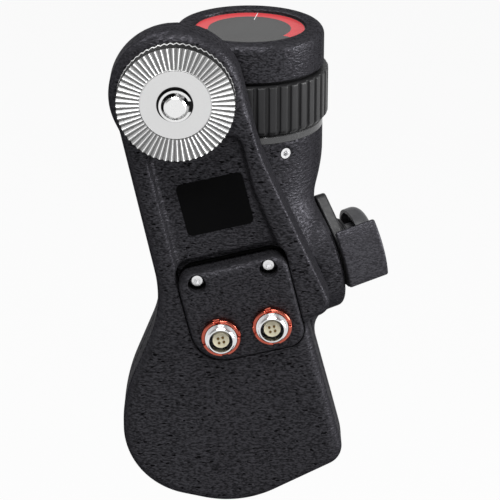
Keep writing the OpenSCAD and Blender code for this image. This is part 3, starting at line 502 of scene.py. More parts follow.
def arm_field(x, y, z):
    """The camera-side casing. Its front edge is crisp along the arm's right side and round elsewhere."""
    crisp = rise(x, *CRISP_X) * rise(-z, *CRISP_DROP) * rise(z, *CRISP_END)
    body = rounded_both(arm_edge(x, z) + SHELL_INSET, FRONT_Y - y, mix(EDGE_R, CRISP_R, crisp))
    body = rounded_both(body, y - SPLIT_Y, SEAM_R)
    wall = (channel_edge(x, z) + CHANNEL_SLOPE * (y - FRONT_Y)) / math.hypot(1, CHANNEL_SLOPE)
    body = cut(body, smooth_max(wall, y - FLOOR_Y, CHANNEL_FLOOR_EDGE), CHANNEL_RIM_EDGE)
    body = cut(body, np.maximum(pocket_edge(x, z), y - POCKET_Y), POCKET_RIM_EDGE)
    body = cut(body, np.maximum(np.hypot(x, z) - BOLT_WELL_R, BOLT_WELL_FLOOR_Y - y), WELL_EDGE)
    for a in ROSETTE_SCREW_ANGLES:
        across = np.hypot(x - ROSETTE_SCREW_RING * math.cos(a), z - ROSETTE_SCREW_RING * math.sin(a))
        body = cut(body, np.maximum(across - ROSETTE_SCREW_WELL_R, ROSETTE_SCREW_SEAT_Y - y), WELL_EDGE)
    return body


def outline_span(z):
    """The back and front edge of the handle's outline at a height."""
    p, q = arm_outline, np.roll(arm_outline, -1, 0)
    over = (p[:, 1] - z) * (q[:, 1] - z) < 0
    x = p[over, 0] + (q[over, 0] - p[over, 0]) * (z - p[over, 1]) / (q[over, 1] - p[over, 1])
    front = HANDLE_FRONT + FRONT_FLARE * (-z - SHOULDER_DROP) / (BASE_DROP - SHOULDER_DROP)
    return x.min(), min(front, x.max())


def hand_stations():
    """Sections of the hand casing from the neck to the base, one a row.

    A row has the centre's x, y and z, the lean, the half width, the depth to the camera side, the depth to
    the hand side and the power of the section's curve.
    """

    def handle(z, far):
        back, front = outline_span(z)
        x, half = (back + front) / 2, (front - back) / 2
        return [x * COS - z * SIN, SPLIT_Y, x * SIN + z * COS, TILT, half, HANDLE_NEAR, far, HANDLE_POWER]

    top = np.array([HEAD_X, HEAD_Y, NECK_TOP, 0, NECK_R, NECK_R, NECK_R, ROUND_POWER])
    start = top - [0, 0, NECK_STRAIGHT, 0, 0, 0, 0, 0]
    waist = np.array(handle(-WAIST_DROP, HANDLE_DEPTH))
    rows = [top]
    for t in np.linspace(0, 1, NECK_ROWS):
        row = mix(start, waist, ease(t))
        row[2] = mix(start[2], waist[2], t)
        rows.append(row)
    low = arm_outline[:, 1].min() + BASE_ROUND
    for t in np.linspace(0, 1, HANDLE_ROWS + 1)[1:]:
        rows.append(handle(mix(-WAIST_DROP, low, t), HANDLE_DEPTH))
    for t in np.linspace(0, 1, BASE_ROWS + 1)[1:]:
        s = BASE_END * math.sin(t * math.pi / 2)
        rows.append(handle(low - s * BASE_ROUND, HANDLE_DEPTH * (1 - s ** BASE_POWER) ** (1 / BASE_POWER)))
    return np.array(rows)


stations = hand_stations()


def loft_field(x, y, z):
    """Distance from the loft through the stations, for points in the row frame."""
    lean_cos, lean_sin = np.cos(stations[:, 3]), np.sin(stations[:, 3])

    def above(k):
        return (z - stations[k, 2]) * lean_cos[k] - (x - stations[k, 0]) * lean_sin[k]

    upper = np.zeros(x.shape, int)
    lower = np.full(x.shape, len(stations) - 1)
    for _ in range(len(stations).bit_length()):
        middle = (upper + lower) // 2
        below = above(middle) < 0
        upper = np.where(below, middle, upper)
        lower = np.where(below, lower, np.maximum(middle, upper + 1))
    start, end = above(upper), above(lower)
    gap = np.where(end == start, 1, end - start)
    t = np.clip(-start / gap, 0, 1)
    cx, cy, cz, lean, half, near, far, power = (
        mix(stations[upper, i], stations[lower, i], t) for i in range(stations.shape[1])
    )
    u = (x - cx) * np.cos(lean) + (z - cz) * np.sin(lean)
    v = y - cy
    power = np.where(v > 0, power, ROUND_POWER)
    depth = np.where(v > 0, far, near)
    share = (np.abs(u / half) ** power + np.abs(v / depth) ** power) ** (1 / power)
    out = np.maximum(np.hypot(u, v), 1e-6)
    field = out - out / np.maximum(share, 1e-6)
    return np.maximum(field, -above(np.full(x.shape, len(stations) - 1)))


def hand_field(x, y, z):
    """The hand-side casing: the loft with the boss of the front control and the wells of its screws."""
    rx, rz = x * COS - z * SIN, x * SIN + z * COS
    body = loft_field(rx, y, rz)
    down, aside, along = arm_to_rocker(x, y, z)
    out = np.hypot(down, aside)
    taper = np.clip(-2 * along / BOSS_TAIL - 1, 0, 1) * BOSS_TAPER
    boss = rounded_both(out - BOSS_R + taper, along, BOSS_FACE_R)
    body = smooth_min(body, np.maximum(boss, -along - BOSS_TAIL), BOSS_EDGE)
    body = rounded_both(body, SPLIT_Y - y, SEAM_R)
    body = cut(body, np.maximum(out - FIN_R - FIN_ROOM, DISC_FROM - RUN_GAP - along), WELL_EDGE)
    body = cut(body, np.maximum(out - POST_R - FIT_GAP, -POST_DEPTH - along), POST_EDGE)
    body = rounded_both(body, rz - NECK_TOP, NECK_TOP_R)
    for a in NECK_SCREW_ANGLES:
        outward = (rx - HEAD_X) * math.cos(a) + (y - HEAD_Y) * math.sin(a)
        side = (y - HEAD_Y) * math.cos(a) - (rx - HEAD_X) * math.sin(a)
        well = np.hypot(side, rz - NECK_TOP + NECK_SCREW_DROP) - NECK_SCREW_WELL_R
        body = cut(body, np.maximum(well, CORE_R - outward), NECK_SCREW_EDGE)
    for px, pz in CASING_SCREWS:
        well = np.hypot(x - px, z - pz) - PLUG_WELL_R
        body = cut(body, np.maximum(well, PLUG_FLOOR_Y - y), WELL_EDGE)
    return body


def plate_field(x, y, z):
    """The connector plate, with a wider bevel at its top and the wells of its screws."""
    bevel = mix(PLATE_BEVEL, PLATE_TOP_BEVEL, rise(z, *BEVEL_CHANGE))
    body = rounded_both(plate_edge(x, z), PLATE_Y - y, bevel)
    body = rounded_both(body, y - PLATE_Y - PLATE_T, PLATE_BACK_R)
    for side in (-0.5, 0.5):
        across = np.hypot(x - PANEL_X - side * PLATE_SCREW_PITCH, z - PLATE_SCREW_Z)
        body = cut(body, np.maximum(across - PLATE_SCREW_WELL_R, y - PLATE_SCREW_SEAT), PLATE_SCREW_EDGE)
    return body


def nut_field(x, y, z):
    """One ring nut about its own axis, with a rounded face and four slots for a key."""
    out = np.hypot(x, z)
    body = rounded_both(out - NUT_R, NUT_FRONT_Y - y, NUT_FACE_R)
    body = rounded_both(body, NUT_BORE_R - out, NUT_MOUTH_R)
    body = np.maximum(body, y - PLATE_Y)
    for along, side in ((x, z), (z, x), (-x, z), (-z, x)):
        slot = np.maximum(np.abs(side) - NUT_SLOT_W / 2, NUT_R - NUT_SLOT_DEPTH - along)
        body = cut(body, np.maximum(slot, y - NUT_SLOT_Y), NUT_SLOT_EDGE)
    return body


# Shapes of the rocker, in its own frame


def paddle_field(x, y, z):
    """The finger paddle: a piece of a round shell that sits on the disc's rim."""
    out = np.hypot(x, y)
    turn = np.arctan2(x, -y) + PADDLE_LIFT
    shell = np.abs(out - PADDLE_FACE + PADDLE_T / 2) - PADDLE_T / 2
    sector = out * (np.abs(turn) - PADDLE_HALF)
    length = np.abs(z - DISC_FROM - PADDLE_L / 2) - PADDLE_L / 2
    body = rounded_both(rounded_both(shell, sector, PADDLE_RIM_R), length, PADDLE_RIM_R)
    return cut(body, np.maximum(out - DISC_R - FIT_GAP, z - DISC_TO - FIT_GAP), PADDLE_SEAT_EDGE)


def disc_field(x, y, z):
    """The disc with its fin above, cut straight below, and a grooved hub."""
    out = np.hypot(x, y)
    plate = np.minimum(out - DISC_R, np.maximum(out - FIN_R, x + FIN_FOOT))
    for angle, flat in FIN_FLATS:
        plate = rounded_both(plate, -y * math.cos(angle) - x * math.sin(angle) - flat, FIN_FLAT_R)
    plate = rounded_both(plate, x - DISC_LOW, DISC_LOW_R)
    thickness = np.abs(z - (DISC_FROM + DISC_TO) / 2) - (DISC_TO - DISC_FROM) / 2
    plate = rounded_both(plate, thickness, DISC_RIM_R)
    groove = np.hypot(out - DISC_HUB_R, z - GROOVE_Z) - GROOVE_R
    hub = cut(rounded_both(out - DISC_HUB_R, z - DISC_END, DISC_HUB_TOP_R), groove, GROOVE_EDGE)
    body = smooth_min(plate, np.maximum(hub, DISC_FROM - z), DISC_HUB_EDGE)
    return np.maximum(body, DISC_BORE_R - out)


def wheel_rings():
    """Rings of the finger wheel from its inner top edge over the ribs to its inner bottom edge."""
    n = WHEEL_FLUTES * POINTS_PER_FLUTE
    angle = np.arange(n) * 2 * math.pi / n
    from_rib = np.abs((np.arange(n) / POINTS_PER_FLUTE) % 1 - 0.5) * 2
    rib = WHEEL_R - FLUTE_DEPTH * rise(from_rib, *FLUTE_WALL)
    envelope = rounded_outline([
        (WHEEL_BORE_R, WHEEL_TOP, 0),
        (WHEEL_R, WHEEL_TOP, 0.6),
        (WHEEL_R, WHEEL_LOW + 1.4, 0.8),
        (NECK_R + 0.1, WHEEL_LOW, 0.2),
        (WHEEL_BORE_R, WHEEL_LOW, 0),
    ], steps=6, closed=False)
    rings = []
    for r, z in envelope:
        radius = smooth_min(np.full(n, r), rib, FLUTE_EDGE)
        rings.append(np.stack([radius * np.cos(angle), radius * np.sin(angle), np.full(n, z)], 1))
    return rings


# Materials


def new_material(name):
    """A material with its node tree and surface shader."""
    material = bpy.data.materials.new(name)
    material.use_nodes = True
    return material, material.node_tree, material.node_tree.nodes["Principled BSDF"]


def set_inputs(tree, node, **inputs):
    """Sets a node's inputs to values, or links them.

    An input's name has _ for a space, or is i and the input's number.
    """
    for key, value in inputs.items():
        by_number = key[0] == "i" and key[1:].isdigit()
        socket = node.inputs[int(key[1:]) if by_number else key.replace("_", " ")]
        if isinstance(value, bpy.types.NodeSocket):
            tree.links.new(value, socket)
        else:
            socket.default_value = value


def add(tree, kind, settings=None, **inputs):
    """A node with its settings and inputs."""
    made = tree.nodes.new(kind)
    for key, value in (settings or {}).items():
        setattr(made, key, value)
    set_inputs(tree, made, **inputs)
    return made


def place(tree):
    """The point on the part, in metres in the row frame at rest."""
    return add(tree, "ShaderNodeTexCoord").outputs["Object"]


def maths(tree, operation, a, b=0.0):
    """The result of one operation on numbers."""
    return add(tree, "ShaderNodeMath", {"operation": operation}, i0=a, i1=b).outputs[0]


def vectors(tree, operation, a, b):
    """The result of one operation on vectors."""
    return add(tree, "ShaderNodeVectorMath", {"operation": operation}, i0=a, i1=b).outputs[0]


def flat_length(tree, a, b):
    """The length of a flat vector."""
    squares = maths(tree, "ADD", maths(tree, "POWER", a, 2.0), maths(tree, "POWER", b, 2.0))
    return maths(tree, "SQRT", squares)


def noise(tree, where, scale, detail=2.0):
    return add(tree, "ShaderNodeTexNoise", Vector=where, Scale=scale, Detail=detail).outputs["Fac"]


def ranged(tree, value, low, high, to_low, to_high):
    """A value between low and high, moved softly to another range and held at its ends."""
    made = add(tree, "ShaderNodeMapRange", {"interpolation_type": "SMOOTHSTEP"},
               Value=value, From_Min=low, From_Max=high, To_Min=to_low, To_Max=to_high)
    return made.outputs["Result"]


def rising(tree, value, low, high):
    return ranged(tree, value, low, high, 0.0, 1.0)


def falling(tree, value, low, high):
    return ranged(tree, value, low, high, 1.0, 0.0)


def band(tree, value, begin, end):
    """1 between two soft edges, and 0 outside them."""
    return maths(tree, "MULTIPLY", rising(tree, value, *begin), falling(tree, value, *end))


def blend_colour(tree, share, a, b):
    return add(tree, "ShaderNodeMix", {"data_type": "RGBA"}, i0=share, i6=a, i7=b).outputs[2]


def rgba(colour):
    return (*colour, 1.0)


def grey(v):
    return (v, v, v, 1.0)


def bump(tree, shader, height, strength, distance):
    made = add(tree, "ShaderNodeBump", Strength=strength, Distance=distance, Height=height)
    set_inputs(tree, shader, Normal=made.outputs["Normal"])


METAL = 1.0
PLAIN = 0.0
# Near black, for painted shade in the rosette's hole and in the bush.
PAINTED_SHADE_BLACK = grey(0.012)

COOL = (1.0, 0.98, 1.11)
GRAIN_STRETCH = (0.60, 0.60, 1.4)
GRAIN_SCALE = 1350
SPECKLE_SCALE = 2600
WANDER_SCALE = 420.0
WANDER_REACH = 0.0016
FLATNESS = (0.75, 0.97)
TONES = (0.38, 0.62)
PIT_SCALE = 700
PIT_SPREAD = 0.22
PIT_RIM = (0.24, 0.33)
PIT_DEPTH = 0.6
PAINT_METALLIC = 0.45
PAINT_SHEEN = grey(0.35)
PAINT_RELIEF = 0.0002


def cool(v):
    """A grey of the paint, a little blue."""
    return rgba(v * tint for tint in COOL)


def wrinkle_paint(name, low, high, roughness, pit_share):
    """Dark structured paint: a fine grain that lies across, with worm-like pits on the flat faces, sunk by
    the bump and painted near black as shade.
    """
    material, tree, shader = new_material(name)
    where = vectors(tree, "MULTIPLY", place(tree), GRAIN_STRETCH)
    grain = noise(tree, where, GRAIN_SCALE, 1.0)
    speckle = noise(tree, where, SPECKLE_SCALE, 1.0)
    wander = add(tree, "ShaderNodeTexNoise", Vector=where, Scale=WANDER_SCALE, Detail=2.0).outputs["Color"]
    wander = vectors(tree, "SUBTRACT", wander, (0.5, 0.5, 0.5))
    bent = vectors(tree, "MULTIPLY", wander, (WANDER_REACH,) * 3)
    cells = add(tree, "ShaderNodeTexVoronoi", Vector=vectors(tree, "ADD", where, bent), Scale=PIT_SCALE)
    normal = add(tree, "ShaderNodeTexCoord").outputs["Normal"]
    flat = maths(tree, "ABSOLUTE", add(tree, "ShaderNodeSeparateXYZ", Vector=normal).outputs[1])
    spread = maths(tree, "MULTIPLY", cells.outputs["Color"], PIT_SPREAD)
    pits = falling(tree, maths(tree, "ADD", cells.outputs["Distance"], spread), *PIT_RIM)
    pits = maths(tree, "MULTIPLY", pits, ranged(tree, flat, *FLATNESS, 0.25 * pit_share, pit_share))
    tone = maths(tree, "ADD", maths(tree, "MULTIPLY", grain, 0.5), maths(tree, "MULTIPLY", speckle, 0.5))
    contrast = ranged(tree, flat, *FLATNESS, 0.5, 1.0)
    level = maths(tree, "MULTIPLY", ranged(tree, tone, *TONES, -0.5, 0.5), contrast)
    level = maths(tree, "ADD", level, 0.5)
    colour = blend_colour(tree, level, cool(low), cool(high))
    # The pits get a near-black colour: painted shade in them.
    set_inputs(
        tree, shader,
        Base_Color=blend_colour(tree, pits, colour, cool(low * 0.2)),
        Roughness=ranged(tree, grain, 0.3, 0.7, roughness + 0.10, roughness - 0.08),
        Metallic=PAINT_METALLIC,
        Specular_IOR_Level=0.0,
        Specular_Tint=PAINT_SHEEN,
    )
    height = maths(tree, "SUBTRACT", grain, maths(tree, "MULTIPLY", pits, PIT_DEPTH))
    bump(tree, shader, height, 1.0, PAINT_RELIEF)
    return material


SATIN_DRIFT = 0.08
SATIN_SHADE = 0.86
SATIN_RELIEF = 0.00005


def satin(name, colour, roughness, metallic, grain_scale, strength=0.12, specular=0.25):
    """A smooth finish with a faint grain and uneven sheen."""
    material, tree, shader = new_material(name)
    where = place(tree)
    grain = noise(tree, where, grain_scale)
    drift = noise(tree, where, grain_scale * SATIN_DRIFT)
    set_inputs(
        tree, shader,
        Base_Color=blend_colour(tree, drift, rgba(c * SATIN_SHADE for c in colour), rgba(colour)),
        Roughness=ranged(tree, grain, 0.3, 0.7, roughness + 0.06, roughness - 0.05),
        Metallic=metallic,
        Specular_IOR_Level=specular,
    )
    bump(tree, shader, grain, strength, SATIN_RELIEF)
    return material


def round_y(tree):
    """Distance from the rosette's axis, the turn about it in radians and the depth along it."""
    x, y, z = add(tree, "ShaderNodeSeparateXYZ", Vector=place(tree)).outputs
    out = maths(tree, "MULTIPLY", flat_length(tree, x, z), 1 / MM)
    return out, maths(tree, "ARCTAN2", z, x), maths(tree, "MULTIPLY", y, 1 / MM)


def facing(tree, turn, degrees, low, high):
    """1 round one direction about the axis, and 0 away from it."""
    aside = maths(tree, "COSINE", maths(tree, "SUBTRACT", turn, math.radians(degrees)))
    return rising(tree, aside, low, high)


TURNED_SHADE = 0.86
TURNED_RELIEF = 0.00003


def turned_metal(name, colour, roughness, strength):
    """Metal with fine rings and rays about the rosette's axis.

    Gives the colour too, for more to be laid on it.
    """
    material, tree, shader = new_material(name)
    out, turn, _ = round_y(tree)
    ray_at = add(tree, "ShaderNodeCombineXYZ", X=maths(tree, "MULTIPLY", turn, 40.0),
                 Y=maths(tree, "MULTIPLY", out, 0.3))
    rays = noise(tree, ray_at.outputs[0], 3.0, 3.0)
    ring_at = add(tree, "ShaderNodeCombineXYZ", X=maths(tree, "MULTIPLY", out, 9.0), Y=turn)
    rings = noise(tree, ring_at.outputs[0], 1.0, 1.0)
    shown = blend_colour(tree, rays, grey(colour * TURNED_SHADE), grey(colour))
    set_inputs(
        tree, shader,
        Base_Color=shown,
        Roughness=ranged(tree, rings, 0.3, 0.7, roughness + 0.08, roughness - 0.06),
        Metallic=METAL,
    )
    bump(tree, shader, maths(tree, "ADD", rings, rays), strength, TURNED_RELIEF)
    return material, shown


# The rosette's radii and depths in millimetres, and shares of a tooth's pitch from its crest
TOOTH_FOOT = (9.55, 9.75)
# Past the tooth rim the rosette's side is painted dark as shade, with a painted highlight along the ends of
# the teeth.
TOOTH_RIM = (15.6, 15.8)
CREST_SIDE = (0.05, 0.11)
VALLEY_SIDE = (0.42, 0.48)
RIM_HIGHLIGHT = (0.3, 0.6)
RIM_CREST_Y = 2.6
RIM_WAVE = 2.8
# The hole is painted dark as shade, reaching further into one side as a painted shadow.
HOLE_R = 4.78
HOLE_SHADE = 0.28
HOLE_SHADE_AT = 140


def toothed_steel(name):
    """The rosette: bright seat; flanks painted darker grey as shade, crests painted bright as highlights
    and valleys painted dark as shade; the rim and the hole painted dark as shade, with a painted highlight
    where the teeth end on the rim and a painted shadow reaching further into one side of the hole.
    """
    material, shown = turned_metal(name, 0.76, 0.28, 0.2)
    tree = material.node_tree
    out, turn, depth = round_y(tree)
    pitch = maths(tree, "MULTIPLY", maths(tree, "SUBTRACT", turn, TILT), ROSETTE_TEETH / (2 * math.pi))
    along_pitch = maths(tree, "FRACT", maths(tree, "ADD", pitch, 100.5))
    from_crest = maths(tree, "ABSOLUTE", maths(tree, "SUBTRACT", along_pitch, 0.5))
    toothed = rising(tree, out, *TOOTH_FOOT)
    # Flanks are painted darker than the seat as shade, crests bright as painted highlights and valleys dark
    # as painted shade.
    shaded_flank = maths(tree, "MULTIPLY", toothed, rising(tree, from_crest, *CREST_SIDE))
    crest = maths(tree, "SUBTRACT", toothed, shaded_flank)
    valley_shade = maths(tree, "MULTIPLY", toothed, ranged(tree, from_crest, *VALLEY_SIDE, 0.0, 0.6))
    # Painted shade on the rim, with a painted highlight along the ends of the teeth.
    rim = rising(tree, out, *TOOTH_RIM)
    highlight_depth = maths(tree, "ADD", maths(tree, "MULTIPLY", from_crest, RIM_WAVE), RIM_CREST_Y)
    line = falling(tree, maths(tree, "ABSOLUTE", maths(tree, "SUBTRACT", depth, highlight_depth)), *RIM_HIGHLIGHT)
    # Painted shade in the hole, wider towards one side as a painted shadow.
    shade = maths(tree, "MULTIPLY", facing(tree, turn, HOLE_SHADE_AT, -0.6, 0.6), HOLE_SHADE)
    past_hole = maths(tree, "SUBTRACT", out, maths(tree, "ADD", shade, HOLE_R))
    shown = blend_colour(tree, shaded_flank, shown, grey(0.40))
    shown = blend_colour(tree, crest, shown, grey(0.98))
    shown = blend_colour(tree, valley_shade, shown, grey(0.18))
    shown = blend_colour(tree, rim, shown, grey(0.02))
    shown = blend_colour(tree, maths(tree, "MULTIPLY", rim, line), shown, grey(0.7))
    shown = blend_colour(tree, falling(tree, past_hole, -0.06, 0.06), shown, PAINTED_SHADE_BLACK)
    roughness = ranged(tree, toothed, 0.0, 1.0, 0.28, 0.58)
    set_inputs(tree, tree.nodes["Principled BSDF"], Base_Color=shown, Roughness=roughness)
    return material


# The bush's radii and depths in millimetres, where its painted shade begins and ends
BUSH_BORE = (3.7, 3.85)
BUSH_RIM = (4.36, 4.46)
BUSH_SLOT_Y = (-1.0, -0.9)


def bush_steel(name):
    """The ring round the clamp bolt: bright face, with painted shade in its gaps and key slot, and a
    painted shadow on one side of its bore.
    """
    material, shown = turned_metal(name, 0.90, 0.22, 0.1)
    tree = material.node_tree
    out, turn, depth = round_y(tree)
    # Painted shade: a shadow crescent on one side of the bore, the key slot and the gap beyond the rim
    # painted dark.
    gap = falling(tree, out, *BUSH_BORE)
    shade = maths(tree, "MAXIMUM", facing(tree, turn, 140, 0.5, 0.8), facing(tree, turn, 205, 0.9, 0.96))
    slot = maths(tree, "MULTIPLY", facing(tree, turn, 0, 0.85, 0.95), rising(tree, depth, *BUSH_SLOT_Y))
    dark = maths(tree, "MAXIMUM", maths(tree, "MULTIPLY", gap, shade), slot)
    dark = maths(tree, "MAXIMUM", dark, rising(tree, out, *BUSH_RIM))
    colour = blend_colour(tree, dark, shown, PAINTED_SHADE_BLACK)
    set_inputs(tree, tree.nodes["Principled BSDF"], Base_Color=colour)
    return material


HAZE_SCALE = 60


def gloss(name, colour, roughness, specular=0.5):
    """A polished dark surface with faint haze."""
    material, tree, shader = new_material(name)
    haze = noise(tree, place(tree), HAZE_SCALE, 3.0)
    lighter = rgba(min(1.0, c * 1.3 + 0.001) for c in colour)
    set_inputs(
        tree, shader,
        Base_Color=blend_colour(tree, haze, rgba(colour), lighter),
        Roughness=ranged(tree, haze, 0.3, 0.7, roughness, roughness + 0.05),
        Specular_IOR_Level=specular,
    )
    return material


# The dial: radii in millimetres, and turns in radians from straight back
ARC_INNER = (11.4, 11.7)
ARC_OUTER = (15.2, 15.4)
ARC_START = (-1.62, -1.6)
ARC_END = (2.2, 2.22)
ARC_COLOUR = (0.46, 0.046, 0.052)
TICK_AT = math.radians(9)
TICK_SIDE = (0.07, 0.15)
TICK_INNER = (8.4, 8.6)
TICK_OUTER = (15.0, 15.2)
FIELD_SCALE = 90


def display_face(name):
    """The lit dial behind the window: a grey field with a coral arc round its edge and one pale tick."""
    material, tree, shader = new_material(name)
    local = vectors(tree, "SUBTRACT", place(tree), (HEAD_X * MM, HEAD_Y * MM, 0.0))
    x, y, _ = add(tree, "ShaderNodeSeparateXYZ", Vector=local).outputs
    out = maths(tree, "MULTIPLY", flat_length(tree, x, y), 1 / MM)
    turn = maths(tree, "ARCTAN2", x, y)
    ring = band(tree, out, ARC_INNER, ARC_OUTER)
    arc = maths(tree, "MULTIPLY", ring, band(tree, turn, ARC_START, ARC_END))
    tick_turn = maths(tree, "ABSOLUTE", maths(tree, "SUBTRACT", turn, TICK_AT))
    tick_side = falling(tree, maths(tree, "MULTIPLY", tick_turn, out), *TICK_SIDE)
    tick = maths(tree, "MULTIPLY", tick_side, band(tree, out, TICK_INNER, TICK_OUTER))
    colour = blend_colour(tree, noise(tree, local, FIELD_SCALE), grey(0.038), grey(0.052))
    colour = blend_colour(tree, arc, colour, rgba(ARC_COLOUR))
    colour = blend_colour(tree, tick, colour, grey(0.6))
    set_inputs(tree, shader, Base_Color=colour, Roughness=0.22, Specular_IOR_Level=0.12)
    return material


# A paint has its dark and light tone, roughness and share of pits.
# A satin has its colour, roughness, metal share and grain scale.
body_paint = wrinkle_paint("body_paint", 0.014, 0.045, 0.40, 0.95)
plate_paint = wrinkle_paint("plate_paint", 0.014, 0.045, 0.40, 0.95)
bezel_paint = wrinkle_paint("bezel_paint", 0.014, 0.046, 0.38, 0.35)
# The paddle's paint is a lighter copy of the body paint: painted sheen for the light that falls on the
# paddle.
paddle_paint = wrinkle_paint("paddle_paint", 0.029, 0.062, 0.36, 0.2)
wheel_satin = satin("wheel_satin", (0.018, 0.018, 0.019), 0.40, PLAIN, 2200, strength=0.2)
# The cap and the fin share one satin finish: the cap's copy is painted lighter and the fin's darker, as
# painted light and shade.
cap_satin = satin("cap_satin", (0.050, 0.050, 0.053), 0.38, PLAIN, 1600)
fin_shaded_satin = satin("fin_shaded_satin", (0.020, 0.020, 0.021), 0.42, PLAIN, 1600)
dark_anodised = satin("dark_anodised", (0.020, 0.021, 0.023), 0.36, 0.3, 1500)
satin_ring = satin("satin_ring", (0.10, 0.10, 0.102), 0.26, 0.8, 1500)
raw_steel = toothed_steel("raw_steel")
bush_bright = bush_steel("bush_bright")
bolt_bright, _ = turned_metal("bolt_bright", 0.92, 0.20, 0.1)
steel = satin("steel", (0.86, 0.86, 0.87), 0.28, METAL, 1800)
chrome_shell = satin("chrome_shell", (0.82, 0.82, 0.83), 0.16, METAL, 1200, strength=0.04)
red_anodised = satin("red_anodised", (0.46, 0.105, 0.07), 0.22, METAL, 1500)
cream_plastic = satin("cream_plastic", (0.80, 0.74, 0.55), 0.45, PLAIN, 1200)
# The gold is darkened to brown as painted shade of the holes that the contacts sit in.
gold_contact = satin("gold_contact", (0.15, 0.09, 0.025), 0.35, METAL, 1500)
label_black = gloss("label_black", (0.002, 0.002, 0.0022), 0.12, specular=0.02)
circuit_board = satin("circuit_board", (0.03, 0.10, 0.055), 0.4, PLAIN, 900)
flat_cable = satin("flat_cable", (0.30, 0.13, 0.04), 0.4, PLAIN, 900)
bearing_plastic = satin("bearing_plastic", (0.66, 0.64, 0.56), 0.5, PLAIN, 1200)
encoder_plastic = satin("encoder_plastic", (0.10, 0.08, 0.06), 0.5, PLAIN, 1200)
rubber = satin("rubber", (0.006, 0.006, 0.0062), 0.62, PLAIN, 1400, strength=0.25, specular=0.05)
magnet = satin("magnet", (0.45, 0.45, 0.47), 0.35, METAL, 1500)
dial = display_face("display_face")
panel = gloss("display_panel", (0.02, 0.022, 0.025), 0.2)

NODE_MATERIALS = {
    "arm_casing": body_paint,
    "hand_casing": body_paint,
    "casing_screws": steel,
    "screw_plugs": rubber,
    "rosette": raw_steel,
    "rosette_screws": steel,
    "clamp_bolt": bolt_bright,
    "bolt_bush": bush_bright,
    "bolt_washer": steel,
    "label_plate": label_black,
    "connector_plate": plate_paint,
    "plate_seal": rubber,
    "plate_screws": steel,
    "connector_shells": chrome_shell,
    "connector_nuts": red_anodised,
    "connector_inserts": cream_plastic,
    "connector_contacts": gold_contact,
    "connector_board": circuit_board,
    "main_board": circuit_board,
    "board_screws": steel,
    "flex_cable": flat_cable,
    "head_core": dark_anodised,
    "bezel": bezel_paint,
    "display_glass": dial,
    "display_panel": panel,
    "display_board": circuit_board,
    "control_wheel": wheel_satin,
    "wheel_bush": bearing_plastic,
    "wheel_seal": rubber,
    "encoder_ring": encoder_plastic,
    "encoder_board": circuit_board,
    "collar_ring": satin_ring,
    "neck_screws": steel,
    "rocker_post": dark_anodised,
    "rocker_bush": bearing_plastic,
    "rocker_shaft": steel,
    "rocker_disc": fin_shaded_satin,
    "rocker_cap": cap_satin,
    "rocker_paddle": paddle_paint,
    "rocker_screw": steel,
    "rocker_spring": steel,
    "rocker_magnet": magnet,
    "sensor_board": circuit_board,
}
for name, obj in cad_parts.items():
    obj.data.materials.clear()
    obj.data.materials.append(NODE_MATERIALS[name])

# Pieces that stand for the plain solids

points, faces = surface_net(arm_field, (-46, 3.8, -127), (30, 16.6, 20), ARM_STEP)
add_piece("arm_shell", arm_to_row(points), faces, "grip", ["arm_casing"], body_paint)

points, faces = surface_net(hand_field, (-46, 14.6, -127), (37, 61, -14), HAND_STEP)
add_piece("hand_shell", arm_to_row(points), faces, "grip", ["hand_casing"], body_paint)

plate_low = (PANEL_X - PLATE_W / 2 - 1, PLATE_Y - 1, -PLATE_TOP - PLATE_H - 1)
plate_high = (PANEL_X + PLATE_W / 2 + 1, PLATE_Y + PLATE_T + 1, -PLATE_TOP + 1)
points, faces = surface_net(plate_field, plate_low, plate_high, SMALL_STEP)
add_piece("plate_cover", arm_to_row(points), faces, "grip", ["connector_plate"], plate_paint)

points, faces = surface_net(nut_field, (-6, NUT_FRONT_Y - 0.4, -6), (6, PLATE_Y + 0.4, 6), NUT_STEP)
both = np.concatenate([points + [PANEL_X + side * SOCKET_PITCH, 0, SOCKET_Z] for side in (-0.5, 0.5)])
faces = np.concatenate([faces, faces + len(points)])
add_piece("ring_nuts", arm_to_row(both), faces, "grip", ["connector_nuts"], red_anodised)

paddle_low = (-16, -PADDLE_FACE - 1, 0)
paddle_high = (10, -10, DISC_FROM + PADDLE_L + 1)
points, faces = surface_net(paddle_field, paddle_low, paddle_high, SMALL_STEP)
points = rocker_to_row(points)
add_piece("finger_paddle", points, faces, "rocker", ["rocker_paddle"], paddle_paint)

disc_low = (-FIN_R - 1, -FIN_R - 1, 0)
disc_high = (9, FIN_R + 1, DISC_END + 1)
points, faces = surface_net(disc_field, disc_low, disc_high, SMALL_STEP)
add_piece("rocker_fin", rocker_to_row(points), faces, "rocker", ["rocker_disc"], fin_shaded_satin)

points, faces = rings_to_mesh(wheel_rings())
points, faces = head_to_row(points), faces[:, ::-1]
add_piece("wheel_grip", points, faces, "wheel", ["control_wheel"], wheel_satin)

# Turned profiles: radius, height and the corner's radius
cap_profile = rounded_outline([
    (SHAFT_R, DISC_END, 0),
    (CAP_STEM_R, DISC_END, 0.2),
    (CAP_STEM_R, CAP_FLOOR, 0.4),
    (CAP_HOLLOW_R, CAP_FLOOR, 0.4),
    (CAP_HOLLOW_R, CAP_FROM, 0.2),
    (CAP_R, CAP_FROM, 0.2),
    (CAP_R, CAP_TO - 0.3, 2.8),
    (CAP_MOUTH_R, CAP_TO - 0.1, 0.3),
    (CAP_SEAT_R, CAP_SEAT, 0),
    (SHAFT_R, CAP_SEAT, 0),
], steps=10)
points, faces = lathe(cap_profile, CAP_SEGMENTS)
add_piece("rocker_dome", rocker_to_row(points), faces, "rocker", ["rocker_cap"], cap_satin)

